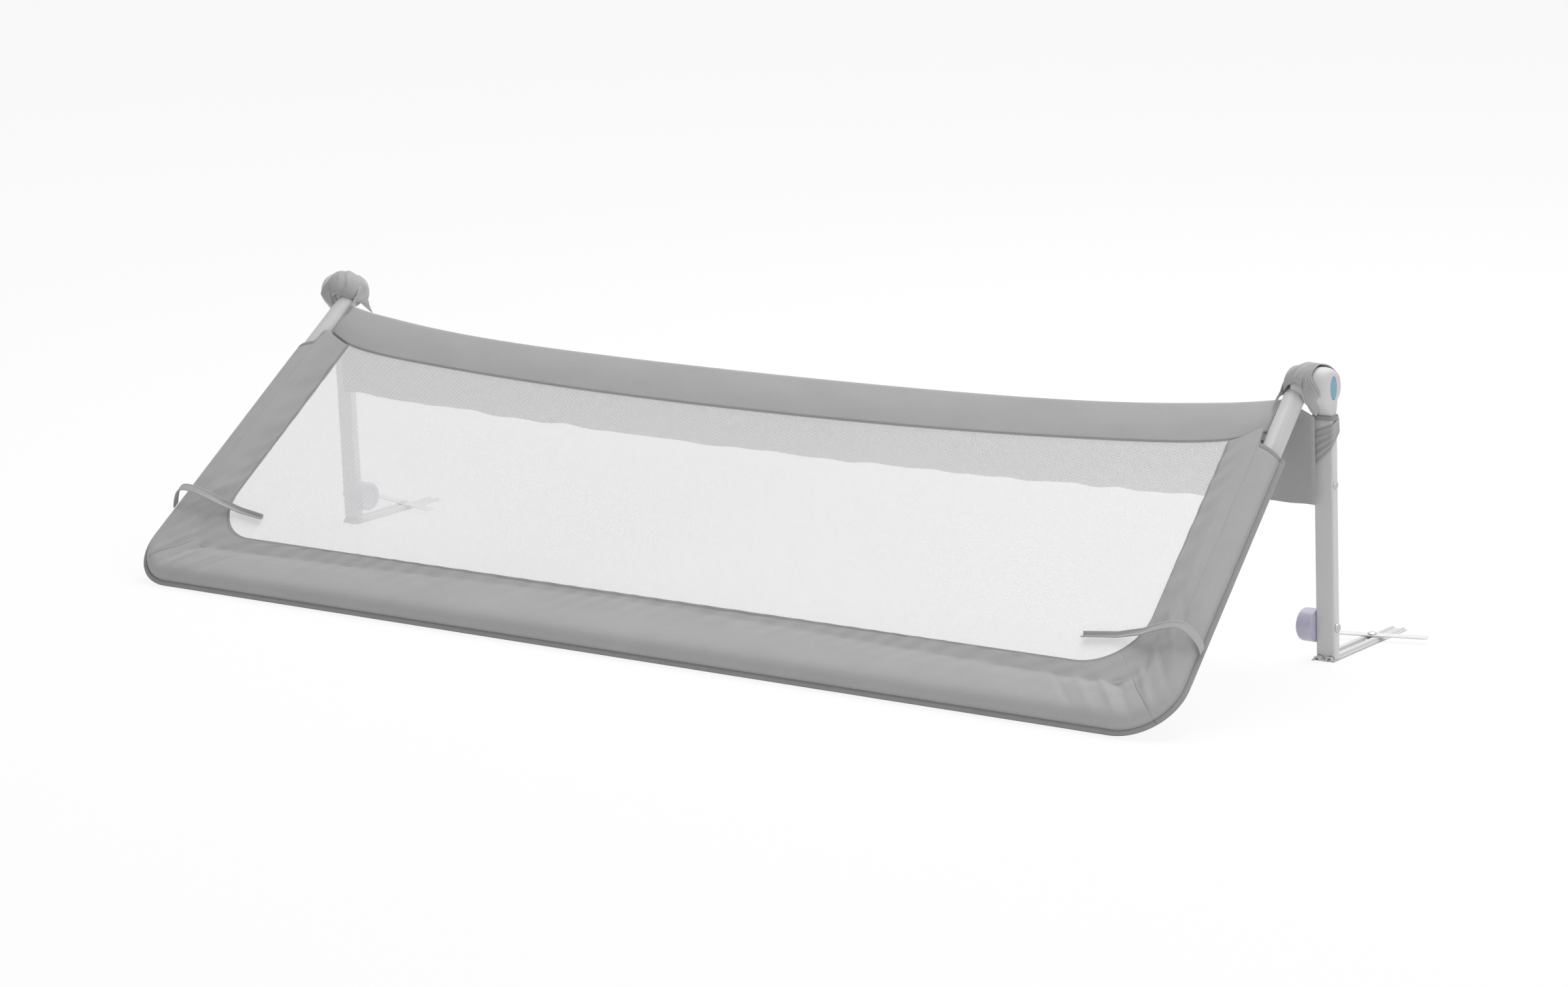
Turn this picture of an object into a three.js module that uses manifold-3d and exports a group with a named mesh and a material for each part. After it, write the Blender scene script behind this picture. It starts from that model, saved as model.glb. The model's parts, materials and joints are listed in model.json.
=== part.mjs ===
// Folding bed guard rail. Two flat-tube uprights stand on ribbed feet and carry a fabric-covered
// guard frame between two lock hinges. The guard is modelled as it stands folded forward, with
// its crossbar resting on the ground in front of the uprights.
// Units are millimetres: X runs along the rail, Y points back towards the feet, Z is up.
import * as THREE from 'three';
import { mergeVertices } from 'three/addons/utils/BufferGeometryUtils.js';
import Module from 'manifold-3d';

const wasm = await Module();
wasm.setup();

// Shared clearances
const GAP = 0.3;                 // between touching pieces
const RUNNING_GAP = 0.2;         // round a pin that something turns on
const CUT = 2;                   // overrun of every cutting shape past the face it opens

// Overall layout
const RAIL_LENGTH = 1500;        // over the outer faces of the two hinge housings
const HINGE_HEIGHT = 310;        // hinge axis above the ground
const HINGE_FORWARD = 5;         // hinge axis in front of the middle of the upright
const LOCK_SLOTS = 28;           // lock positions in a full turn of the hinge
const FOLD_SLOTS = 4;            // positions between hanging straight down and the pose shown
const FOLD_ANGLE = FOLD_SLOTS * 2 * Math.PI / LOCK_SLOTS;

// Uprights
const UPRIGHT_WIDTH = 24;
const UPRIGHT_DEPTH = 12;
const UPRIGHT_WALL = 1.2;
const UPRIGHT_CORNER = 2.5;

// Hinge housings
const HOUSING_WIDTH = 28;
const HOUSING_RADIUS = 22.5;
const HOUSING_FACE_RADIUS = 14;  // flat middle of the outer face
const HOUSING_RIM_WIDTH = 15;    // straight part of the rim before it rounds into the face
const NECK_TOP_SQUARE_SHARE = 0.85;  // how oval the neck is where it leaves the body
const NECK_END_SQUARE_SHARE = 0.45;  // and on the upright, where it is nearly square
const NECK_START = 6;            // where the neck leaves the round body, below the axis
const NECK_LENGTH = 35;          // hinge axis down to the shoulder on the upright
const SPIGOT_LENGTH = 85;        // tongue inside the upright
const HINGE_WEB = 7;             // solid wall behind the lock ring that carries the pin

// Lock, button and pin
const LOCK_TIP_RADIUS = 17;
const LOCK_ROOT_RADIUS = 14.6;
const LOCK_TOOTH_WIDTH = 1.9;
const LOCK_GEAR_WIDTH = 8;
const LOCK_TRAVEL = 4.5;
const LOCK_END_PLAY = 0.7;       // spare depth of the lock ring past the travel
const PIN_RADIUS = 3;
const PIN_HEAD_RADIUS = 5;
const PIN_HEAD_WIDTH = 2;
const PIN_REACH = 21;            // how far the pin runs into the leg end
const SPRING_LENGTH = 4.6;
const SPRING_RADIUS = 7;
const SPRING_WIRE = 1.2;
const SPRING_TURNS = 2.5;
const SPRING_STEPS = 8;          // facets in a turn
const BUTTON_WIDTH = 13;
const BUTTON_HEIGHT = 26;
const BUTTON_PROUD = 0.6;
const BUTTON_THICKNESS = 11;
const BUTTON_ROUND = 1.2;        // rounded edge of its face
const PRONG_RADIUS = 2.2;
const PRONG_OFFSET = 8.6;

// Leg ends, leg tubes and crossbar
const LEG_INSET = 15;            // middle of the leg at the hinge axis, inboard of the joint
const LEG_FLARE = 0.085;         // outward run of the leg for each unit down it
const LEG_HALF_WIDTH = 12.5;
const LEG_HALF_DEPTH = 11;
const LEG_WALL = 1.5;
const LEG_DOME_START = 4;        // top of the domed end, below the hinge axis
const LEG_DOME_LENGTH = 14;
const DOME_TIP_SHARE = 0.04;     // small flat that closes the dome's tip
const LEG_END_LENGTH = 112;      // hinge axis to the joint with the steel tube
const LEG_PLUG_LENGTH = 38;      // tongue of the leg end inside the steel tube
const LEG_DISC_RADIUS = 19.5;
const LEG_DISC_WIDTH = 17;
const LEG_BOSS_RADIUS = 8;
const LEG_BOSS_WIDTH = 6.5;
const TUBE_BEND = 45;            // middle radius of the corner bends
const CROSSBAR_INSET = 182;      // crossbar joints, inboard of the hinge joints
const CONNECTOR_LENGTH = 90;
const SNAP_RADIUS = 3;
const SNAP_OFFSET = 22;          // snap button from the crossbar joint

// Fabric cover
const CLOTH = 1.8;               // thickness of a sewn double layer
const SLEEVE_EDGE = 22;          // tube middle to the piped outer edge of the sleeve
const SLEEVE_BULGE = 13;         // half depth of the sleeve over the tube
const SLEEVE_SPAN = 30;          // where the bulge dies into the flat inner margin
const SLEEVE_RISE_EDGE = 1.5;    // half depth at the piped outer edge
const SLEEVE_FIT = 0.8;          // room between tube and sleeve
const LEG_MARGIN = 58;           // tube middle to the window, on the legs
const BOTTOM_MARGIN = 66;        // tube middle to the window, along the crossbar
const WINDOW_BEND = 66;          // corner radius of the window
const HEM_DROP = 99;             // sleeve hem over the tube, below the hinge axis
const HEM_RAKE = 0.5;            // slant of the hem across the tube
const SEAM_GAP = 1.2;            // between the net seam and the sleeve's inner margin
const MITRE_GAP_SHARE = 0.004;   // seam gap at the corner mitres, as a share of the bend
const BAND_FOLD_DROP = 62;       // middle of the fold line, below the hinge axis
const BAND_FOLD_LIFT = 24;       // how much higher the fold line ends are
const BAND_FOLD_BOW = 15.5;      // and how much it bows up evenly towards them
const BAND_SEAM_DROP = 120;      // middle of the seam to the net
const BAND_SEAM_LIFT = 30;       // how much higher the seam runs towards its ends
const BAND_SEAM_CURL = 18;       // how much more it curls up just beside the legs
const SKIRT_LAP = 4;             // the skirt's ends reach this far over the joint plane
const SKIRT_BOTTOM_DROP = 142;   // middle of the skirt's lower edge, below the hinge axis
const SKIRT_BOTTOM_LIFT = 10;
const SKIRT_END_DROP = 32;       // the skirt's upper corners, below the hinge axis
const SKIRT_END_Y = -12;
const SKIRT_BOTTOM_Y = -22;      // middle of the lower edge
const SKIRT_FOLD_DEPTH = 2.2;    // height of the hanging folds
const SKIRT_FOLDS = 9;
const SKIRT_SEAT = 1.05;         // back and down from the band's fold to the skirt's top edge
const NET_THICKNESS = 1.2;
const NET_COLUMNS = 16;
const NET_ROWS = 4;
const NET_STRAND = 5;
const NET_BORDER = 10;

// Fabric wraps, hoods and tie straps
const WRAP_CLEAR = 0.5;          // fabric off the tube
const WRAP_LOW_DROP = 79;        // middle of the wrap's lower edge in front, below the hinge axis
const WRAP_HIGH_DROP = 46;       // middle of its upper edge
const WRAP_RAKE = 1.02;          // climb of the wrap for each unit round the upright
const WRAP_TOP_RAKE_SHARE = 0.4; // share of that climb that its upper edge makes
const HOOD_RADIUS = 24.5;
const HOOD_THICKNESS = 1.6;
const HOOD_INNER = 16;           // hood edge inboard of the joint plane
const HOOD_OUTER = 11;           // hood edge outboard of the joint plane
const HOOD_DRAW_IN = 3;          // how much the inboard side closes in
const HOOD_ARCH_DEGREES = 88;    // edge over the leg, from straight up towards the guard
const HOOD_ARCH_RISE_DEGREES = 12;   // how much further back the top of that arch lies
const HOOD_FRONT_DEGREES = 142;  // edge in front of the housing
const HOOD_BACK_DEGREES = 128;   // edge behind, from straight up towards the feet
const HOOD_LEG_CLEAR = 1.5;      // joint plane to the part that comes down beside the leg
const HOOD_LEG_TURN = 4.5;       // width over which the arch turns down into that part
const STRAP_WIDTH = 10;
const STRAP_THICKNESS = 2.4;
const STRAP_RISE = 97;           // where it is sewn in, up the leg from the crossbar
const STRAP_REACH = 150;         // length of its run inboard
const STRAP_ARCH = 14;           // height of its arch off the sleeve
const STRAP_ARCH_SHARE = 0.85;   // share of the run that the arch takes
const STRAP_CLEAR = 1.2;         // off the sleeve at both ends
const STRAP_CLIMB = 13;          // how far it swings up towards the hinge on its way

// Feet
const FOOT_WIDTH = 24;
const FOOT_SHEET = 1.2;
const RIB_SPACING = 13.5;
const RIB_WIDTH = 7.4;           // outer width of a rib of the doubler
const RIB_HEIGHT = 4.4;          // outer height of a rib over its own sheet's underside
const RIB_SLOPE = 0.9;           // run of a rib's side wall
const RAIL_FRONT = -8;
const RAIL_REAR = 157;
const DOUBLER_FRONT = -17;
const DOUBLER_REAR = 101;
const DOUBLER_RAKE = 9;          // how far its outboard front corner is cut back
const NOTCH_CLEAR = 0.5;
const POST_TOP = 80;
const BOLT_HEIGHT = 38;
const BOLT_RADIUS = 3;
const BOLT_HEAD_RADIUS = 5.5;
const BOLT_HEAD_HEIGHT = 3;
const FOOT_TRAVEL = 25;          // height range of the foot under the upright
const KNOB_RADIUS = 18.75;
const KNOB_WIDTH = 19.4;
const KNOB_ROUND = 3;
const KNOB_DIMPLE_RADIUS = 11;
const KNOB_DIMPLE_DEPTH = 1.5;
const KNOB_TIP_WALL = 4;         // knob material past the end of the bolt
const SCREW_DROP = 110;          // below the hinge axis
const SCREW_RADIUS = 2.5;
const SCREW_LENGTH = 12;
const SCREW_HEAD_RADIUS = 4.8;
const SCREW_HEAD_HEIGHT = 1.8;
const STRIP_LENGTH = 128;
const STRIP_WIDTH = 13;
const STRIP_THICKNESS = 1.5;
const STRIP_Y = 98;
const STRIP_ANGLE = THREE.MathUtils.degToRad(15);
const RIVET_RADIUS = 2.4;
const RIVET_HEAD_RADIUS = 5.5;
const RIVET_HEAD_HEIGHT = 2.4;
const SMALL_RIVET_Y = 86;
const SMALL_RIVET_HEAD = 2.8;

// Places worked out from the sizes above
const UPRIGHT_X = RAIL_LENGTH / 2 - HOUSING_WIDTH / 2;
const JOINT_X = RAIL_LENGTH / 2 - HOUSING_WIDTH;
const INNER_FACE_X = UPRIGHT_X - UPRIGHT_WIDTH / 2;
const OUTER_FACE_X = UPRIGHT_X + UPRIGHT_WIDTH / 2;
const DOUBLER_LIFT = FOOT_SHEET + GAP;
const DOUBLER_TOP = DOUBLER_LIFT + RIB_HEIGHT;
const UPRIGHT_BOTTOM = DOUBLER_LIFT + FOOT_SHEET + GAP;
const UPRIGHT_TOP = HINGE_HEIGHT - NECK_LENGTH - GAP;
const SCREW_HEIGHT = HINGE_HEIGHT - SCREW_DROP;
const LEG_START_X = JOINT_X - LEG_INSET;
const CROSSBAR_HALF = JOINT_X - CROSSBAR_INSET;
const BAND_HALF = LEG_START_X - LEG_HALF_WIDTH - SLEEVE_FIT - CLOTH / 2;
const SKIRT_HALF = JOINT_X + SKIRT_LAP;
const SLEEVE_UNDER = Math.hypot(
  SLEEVE_EDGE * Math.cos(FOLD_ANGLE),
  SLEEVE_BULGE * Math.sin(FOLD_ANGLE),
);
const CROSSBAR_DROP = (HINGE_HEIGHT - SLEEVE_UNDER) / Math.cos(FOLD_ANGLE);
const STRAP_DROP = CROSSBAR_DROP - STRAP_RISE;
const ROUND_SEGMENTS = 20;
const DISC_SEGMENTS = 28;
const PIN_SEGMENTS = 12;

// Finishes
const FINISH = {
  plastic: { color: 0xdcdcdc, roughness: 0.5, metalness: 0 },
  steel: { color: 0xb4b4b4, roughness: 0.42, metalness: 0.15 },
  zinc: { color: 0xc8c8c4, roughness: 0.3, metalness: 1 },
  button: { color: 0x86a8bb, roughness: 0.45, metalness: 0 },
  knob: { color: 0xc9c8dc, roughness: 0.35, metalness: 0 },
  fabric: { color: 0xa4a4a4, roughness: 0.95, metalness: 0 },
  net: { color: 0xf0f0f0, roughness: 0.9, metalness: 0 },
  strip: { color: 0xe6e6e4, roughness: 0.5, metalness: 0.1 },
};

// Solid helpers
function toSolid(geometry) {
  const bare = geometry.clone();
  bare.deleteAttribute('normal');
  bare.deleteAttribute('uv');
  const merged = mergeVertices(bare, 1e-4);
  return new wasm.Manifold(new wasm.Mesh({
    numProp: 3,
    vertProperties: new Float32Array(merged.attributes.position.array),
    triVerts: new Uint32Array(merged.index.array),
  }));
}

function toGeometry(solid) {
  const mesh = solid.getMesh();
  const geometry = new THREE.BufferGeometry();
  geometry.setAttribute('position', new THREE.BufferAttribute(new Float32Array(mesh.vertProperties), 3));
  geometry.setIndex(new THREE.BufferAttribute(new Uint32Array(mesh.triVerts), 1));
  return geometry;
}

function joined(...geometries) {
  return toGeometry(geometries.map(toSolid).reduce((whole, next) => whole.add(next)));
}

function cutBy(geometry, ...cutters) {
  const whole = toSolid(geometry);
  return toGeometry(cutters.map(toSolid).reduce((rest, cutter) => rest.subtract(cutter), whole));
}

// Builds one closed body from points and triangles, and turns it the right way out.
function closedBody(points, triangles) {
  let volume = 0;
  const cross = new THREE.Vector3();
  for (const [a, b, c] of triangles) {
    volume += points[a].dot(cross.crossVectors(points[b], points[c]));
  }
  const ordered = volume < 0 ? triangles.map(([a, b, c]) => [a, c, b]) : triangles;
  const geometry = new THREE.BufferGeometry().setFromPoints(points);
  geometry.setIndex(ordered.flat());
  return geometry;
}

// Joins closed rings of equal point counts into a skin, adding its quads to the triangle list.
function ringSkin(ringCount, pointCount, first, triangles, flipped) {
  for (let ring = 0; ring < ringCount - 1; ring += 1) {
    for (let point = 0; point < pointCount; point += 1) {
      const next = (point + 1) % pointCount;
      const a = first + ring * pointCount + point;
      const b = first + ring * pointCount + next;
      const c = a + pointCount;
      const d = b + pointCount;
      triangles.push(...(flipped ? [[a, c, b], [b, c, d]] : [[a, b, c], [b, d, c]]));
    }
  }
}

// A solid through a list of convex rings, closed by flat ends.
function loft(rings) {
  const count = rings[0].length;
  const triangles = [];
  ringSkin(rings.length, count, 0, triangles, false);
  const last = (rings.length - 1) * count;
  for (let point = 1; point < count - 1; point += 1) {
    triangles.push([0, point + 1, point], [last, last + point, last + point + 1]);
  }
  return closedBody(rings.flat(), triangles);
}

// A tube with an outer and an inner skin, open at both ends.
function hollowLoft(outerRings, innerRings) {
  const count = outerRings[0].length;
  const inside = outerRings.length * count;
  const triangles = [];
  ringSkin(outerRings.length, count, 0, triangles, false);
  ringSkin(innerRings.length, count, inside, triangles, true);
  const lastOut = inside - count;
  const lastIn = inside + (innerRings.length - 1) * count;
  for (let point = 0; point < count; point += 1) {
    const next = (point + 1) % count;
    triangles.push([point, inside + point, next], [next, inside + point, inside + next]);
    triangles.push([lastOut + point, lastOut + next, lastIn + point]);
    triangles.push([lastOut + next, lastIn + next, lastIn + point]);
  }
  return closedBody([...outerRings.flat(), ...innerRings.flat()], triangles);
}

// A sheet of even thickness over the grid that pointAt(u, v) gives for shares from 0 to 1.
function sheet(pointAt, columns, rows, thickness) {
  const step = 1e-3;
  const normalAt = (u, v) => {
    const along = pointAt(u + step, v).sub(pointAt(u - step, v));
    const across = pointAt(u, v + step).sub(pointAt(u, v - step));
    return along.cross(across).normalize();
  };
  const front = [];
  const back = [];
  for (let row = 0; row <= rows; row += 1) {
    for (let column = 0; column <= columns; column += 1) {
      const middle = pointAt(column / columns, row / rows);
      const half = normalAt(column / columns, row / rows).multiplyScalar(thickness / 2);
      front.push(middle.clone().add(half));
      back.push(middle.clone().sub(half));
    }
  }
  const width = columns + 1;
  const under = front.length;
  const triangles = [];
  for (let row = 0; row < rows; row += 1) {
    for (let column = 0; column < columns; column += 1) {
      const a = row * width + column;
      const b = a + 1;
      const c = a + width;
      const d = c + 1;
      triangles.push([a, b, d], [a, d, c]);
      triangles.push([under + a, under + d, under + b], [under + a, under + c, under + d]);
    }
  }
  const edge = [];
  for (let column = 0; column < columns; column += 1) edge.push(column);
  for (let row = 0; row < rows; row += 1) edge.push(row * width + columns);
  for (let column = columns; column > 0; column -= 1) edge.push(rows * width + column);
  for (let row = rows; row > 0; row -= 1) edge.push(row * width);
  edge.forEach((a, index) => {
    const b = edge[(index + 1) % edge.length];
    triangles.push([a, under + a, b], [b, under + a, under + b]);
  });
  return closedBody([...front, ...back], triangles);
}

// Turns a solid drawn up +Z so that it points along +X, standing on x = start.
function alongX(geometry, start) {
  return geometry.rotateY(Math.PI / 2).translate(start, 0, 0);
}

function roundBar(radius, start, end, segments = ROUND_SEGMENTS) {
  const bar = new THREE.CylinderGeometry(radius, radius, end - start, segments);
  return bar.rotateZ(-Math.PI / 2).translate((start + end) / 2, 0, 0);
}

// A solid turned about X from [radius, x] points that start and end on the axis, either way along.
function turned(profile, segments = ROUND_SEGMENTS) {
  const ordered = profile[0][1] < profile[profile.length - 1][1] ? profile : [...profile].reverse();
  const points = ordered.map(([radius, x]) => new THREE.Vector2(radius, x));
  return new THREE.LatheGeometry(points, segments).rotateZ(-Math.PI / 2);
}

function roundedRectangle(width, depth, corner) {
  const shape = new THREE.Shape();
  const x = width / 2;
  const y = depth / 2;
  shape.moveTo(corner - x, -y);
  shape.lineTo(x - corner, -y);
  shape.absarc(x - corner, corner - y, corner, -Math.PI / 2, 0);
  shape.lineTo(x, y - corner);
  shape.absarc(x - corner, y - corner, corner, 0, Math.PI / 2);
  shape.lineTo(corner - x, y);
  shape.absarc(corner - x, y - corner, corner, Math.PI / 2, Math.PI);
  shape.lineTo(-x, corner - y);
  shape.absarc(corner - x, corner - y, corner, Math.PI, Math.PI * 3 / 2);
  return shape;
}

function prism(shape, height, curveSegments = 3) {
  return new THREE.ExtrudeGeometry(shape, { depth: height, bevelEnabled: false, curveSegments });
}

// A closed ring of points of a squared oval, through a function that places each one.
function ovalRing(halfWidth, halfDepth, place, count = ROUND_SEGMENTS, squareness = 1) {
  return Array.from({ length: count }, (unused, index) => {
    const angle = index / count * Math.PI * 2;
    const across = Math.sign(Math.cos(angle)) * Math.abs(Math.cos(angle)) ** squareness;
    const deep = Math.sign(Math.sin(angle)) * Math.abs(Math.sin(angle)) ** squareness;
    return place(halfWidth * across, halfDepth * deep);
  });
}

// The left piece is the mirror image of the right one.
function handed(geometry, side) {
  if (side > 0) return geometry;
  const flipped = toSolidOrder(geometry.index ? geometry : mergeVertices(geometry));
  return flipped.scale(-1, 1, 1);
}

function toSolidOrder(geometry) {
  const order = Array.from(geometry.index.array);
  for (let corner = 0; corner < order.length; corner += 3) {
    [order[corner + 1], order[corner + 2]] = [order[corner + 2], order[corner + 1]];
  }
  geometry.setIndex(order);
  return geometry;
}

function piece(name, geometry, finish) {
  const mesh = new THREE.Mesh(geometry, new THREE.MeshStandardMaterial(finish));
  mesh.name = name;
  return mesh;
}

// Upright tube with scalloped notches over the foot's ribs
function uprightTube() {
  const section = roundedRectangle(UPRIGHT_WIDTH, UPRIGHT_DEPTH, UPRIGHT_CORNER);
  const bore = roundedRectangle(
    UPRIGHT_WIDTH - 2 * UPRIGHT_WALL,
    UPRIGHT_DEPTH - 2 * UPRIGHT_WALL,
    UPRIGHT_CORNER - UPRIGHT_WALL,
  );
  section.holes.push(bore);
  const tube = prism(section, UPRIGHT_TOP - UPRIGHT_BOTTOM);
  tube.translate(UPRIGHT_X, 0, UPRIGHT_BOTTOM);
  const notches = [-1, 1].map((rib) => {
    const arch = new THREE.Shape();
    const half = RIB_WIDTH / 2 + NOTCH_CLEAR;
    const crown = DOUBLER_TOP + NOTCH_CLEAR;
    const spring = crown - NOTCH_CLEAR;
    arch.moveTo(-half, UPRIGHT_BOTTOM - CUT);
    arch.lineTo(half, UPRIGHT_BOTTOM - CUT);
    arch.lineTo(half, spring - RIB_SLOPE);
    arch.quadraticCurveTo(half, crown, 0, crown + NOTCH_CLEAR);
    arch.quadraticCurveTo(-half, crown, -half, spring - RIB_SLOPE);
    const notch = prism(arch, UPRIGHT_DEPTH + 2 * CUT, 4);
    notch.rotateX(Math.PI / 2);
    return notch.translate(UPRIGHT_X + rib * RIB_SPACING / 2, UPRIGHT_DEPTH / 2 + CUT, 0);
  });
  const boltHole = roundBar(BOLT_RADIUS + GAP, INNER_FACE_X - CUT, OUTER_FACE_X + CUT, PIN_SEGMENTS);
  boltHole.translate(0, 0, BOLT_HEIGHT);
  const screwHole = roundBar(SCREW_RADIUS + GAP, UPRIGHT_X, OUTER_FACE_X + CUT, PIN_SEGMENTS);
  screwHole.translate(0, 0, SCREW_HEIGHT);
  return cutBy(tube, ...notches, boltHole, screwHole);
}

// Outline with square teeth round a circle, used for the lock gear and, wider, for its slots
function toothedShape(slots, tipRadius, rootRadius, toothWidth) {
  const outline = [];
  for (let tooth = 0; tooth < slots; tooth += 1) {
    const angle = tooth / slots * Math.PI * 2;
    const atRoot = Math.asin(toothWidth / 2 / rootRadius);
    const atTip = Math.asin(toothWidth / 2 / tipRadius);
    const corners = [[rootRadius, -atRoot], [tipRadius, -atTip], [tipRadius, atTip], [rootRadius, atRoot]];
    for (const [radius, turn] of corners) {
      outline.push(new THREE.Vector2(radius * Math.cos(angle + turn), radius * Math.sin(angle + turn)));
    }
  }
  return new THREE.Shape(outline);
}

function lockSlots(slots, start, end) {
  const tip = LOCK_TIP_RADIUS + GAP;
  const shape = toothedShape(slots, tip, LOCK_ROOT_RADIUS + GAP, LOCK_TOOTH_WIDTH + 2 * GAP);
  return alongX(prism(shape, end - start), start);
}

// Hinge housing: round pillowed body, neck down to the tube and a tongue inside it
function hingeHousing() {
  const profile = [[0, GAP / 2], [HOUSING_RADIUS, GAP / 2], [HOUSING_RADIUS, HOUSING_RIM_WIDTH]];
  const steps = 5;
  for (let step = 1; step <= steps; step += 1) {
    const turn = step / steps * Math.PI / 2;
    profile.push([
      HOUSING_FACE_RADIUS + (HOUSING_RADIUS - HOUSING_FACE_RADIUS) * Math.cos(turn),
      HOUSING_RIM_WIDTH + (HOUSING_WIDTH - HOUSING_RIM_WIDTH) * Math.sin(turn),
    ]);
  }
  profile.push([0, HOUSING_WIDTH]);
  const body = turned(profile, DISC_SEGMENTS);
  const levels = 5;
  const neck = loft(Array.from({ length: levels + 1 }, (unused, level) => {
    const share = level / levels;
    const ease = (1 - Math.cos(share * Math.PI)) / 2;
    const halfWidth = THREE.MathUtils.lerp(HOUSING_WIDTH / 2 - GAP, UPRIGHT_WIDTH / 2, ease);
    const halfDepth = THREE.MathUtils.lerp(HOUSING_RADIUS - CUT, UPRIGHT_DEPTH / 2, ease);
    const back = HINGE_FORWARD * ease;
    const height = -THREE.MathUtils.lerp(NECK_START, NECK_LENGTH, share);
    const squareness = THREE.MathUtils.lerp(NECK_TOP_SQUARE_SHARE, NECK_END_SQUARE_SHARE, ease);
    const place = (x, y) => new THREE.Vector3(HOUSING_WIDTH / 2 + x, back + y, height);
    return ovalRing(halfWidth, halfDepth, place, ROUND_SEGMENTS, squareness);
  }));
  const tongue = prism(roundedRectangle(
    UPRIGHT_WIDTH - 2 * (UPRIGHT_WALL + GAP),
    UPRIGHT_DEPTH - 2 * (UPRIGHT_WALL + GAP),
    UPRIGHT_CORNER - UPRIGHT_WALL,
  ), SPIGOT_LENGTH + CUT);
  tongue.translate(HOUSING_WIDTH / 2, HINGE_FORWARD, -NECK_LENGTH - SPIGOT_LENGTH);
  const ringDepth = LOCK_TRAVEL + LOCK_END_PLAY;
  const pocket = loft([ringDepth + HINGE_WEB, HOUSING_WIDTH + CUT].map((x) => ovalRing(
    BUTTON_WIDTH / 2 + GAP,
    BUTTON_HEIGHT / 2 + GAP,
    (y, z) => new THREE.Vector3(x, y, z),
  )));
  const webEnd = ringDepth + HINGE_WEB + CUT;
  const pinHole = roundBar(PIN_RADIUS + RUNNING_GAP, 0, webEnd);
  const prongHoles = [-1, 1].map((end) => (
    roundBar(PRONG_RADIUS + GAP, 0, webEnd, PIN_SEGMENTS).translate(0, 0, end * PRONG_OFFSET)
  ));
  const screwTip = OUTER_FACE_X - JOINT_X - SCREW_LENGTH - GAP;
  const screwHole = roundBar(SCREW_RADIUS + GAP, screwTip, HOUSING_WIDTH, PIN_SEGMENTS);
  screwHole.translate(0, HINGE_FORWARD, SCREW_HEIGHT - HINGE_HEIGHT);
  return cutBy(
    joined(body, neck, tongue),
    lockSlots(LOCK_SLOTS, -CUT, ringDepth),
    pocket,
    pinHole,
    ...prongHoles,
    screwHole,
  );
}

// Push button with two prongs that reach through the web to the lock gear
function releaseButton() {
  const face = HOUSING_WIDTH + BUTTON_PROUD;
  const back = HOUSING_WIDTH - BUTTON_THICKNESS;
  const steps = [[back, 0], [face - BUTTON_ROUND, 0], [face, BUTTON_ROUND]];
  const cap = loft(steps.map(([x, inset]) => ovalRing(
    BUTTON_WIDTH / 2 - inset,
    BUTTON_HEIGHT / 2 - inset,
    (y, z) => new THREE.Vector3(x, y, z),
  )));
  const prongs = [-1, 1].map((end) => (
    roundBar(PRONG_RADIUS, 0, back + CUT, PIN_SEGMENTS).translate(0, 0, end * PRONG_OFFSET)
  ));
  return joined(cap, ...prongs);
}

function lockGear() {
  const teeth = toothedShape(LOCK_SLOTS / 2, LOCK_TIP_RADIUS, LOCK_ROOT_RADIUS, LOCK_TOOTH_WIDTH);
  const gear = alongX(prism(teeth, LOCK_GEAR_WIDTH), -GAP - LOCK_GEAR_WIDTH);
  return cutBy(gear, roundBar(PIN_RADIUS + GAP, -LOCK_GEAR_WIDTH - CUT, CUT));
}

function springCoil() {
  const start = -GAP - LOCK_GEAR_WIDTH - GAP - SPRING_WIRE / 2;
  const travel = SPRING_LENGTH - 2 * GAP - SPRING_WIRE;
  class Coil extends THREE.Curve {
    getPoint(share, target = new THREE.Vector3()) {
      const turn = share * SPRING_TURNS * Math.PI * 2;
      const x = start - travel * share;
      return target.set(x, SPRING_RADIUS * Math.cos(turn), SPRING_RADIUS * Math.sin(turn));
    }
  }
  const wire = new THREE.Shape();
  wire.absarc(0, 0, SPRING_WIRE / 2, 0, Math.PI * 2);
  return new THREE.ExtrudeGeometry(wire, {
    steps: Math.round(SPRING_TURNS * SPRING_STEPS),
    extrudePath: new Coil(),
    curveSegments: 3,
    bevelEnabled: false,
  });
}

function hingePin() {
  const seat = LOCK_TRAVEL + LOCK_END_PLAY + HINGE_WEB + GAP;
  return turned([
    [0, -PIN_REACH], [PIN_RADIUS, -PIN_REACH], [PIN_RADIUS, seat],
    [PIN_HEAD_RADIUS, seat], [PIN_HEAD_RADIUS, seat + PIN_HEAD_WIDTH], [0, seat + PIN_HEAD_WIDTH],
  ], ROUND_SEGMENTS);
}

// Leg line in the guard's own frame, where the guard hangs straight down from the hinge axis
function legX(drop) {
  return LEG_START_X + LEG_FLARE * drop;
}

// An oval section of the leg, square to its line
function legRing(halfWidth, halfDepth, drop) {
  const across = new THREE.Vector2(1, LEG_FLARE).normalize();
  return ovalRing(halfWidth, halfDepth, (x, y) => new THREE.Vector3(
    legX(drop) + x * across.x,
    y,
    x * across.y - drop,
  ));
}

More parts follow.
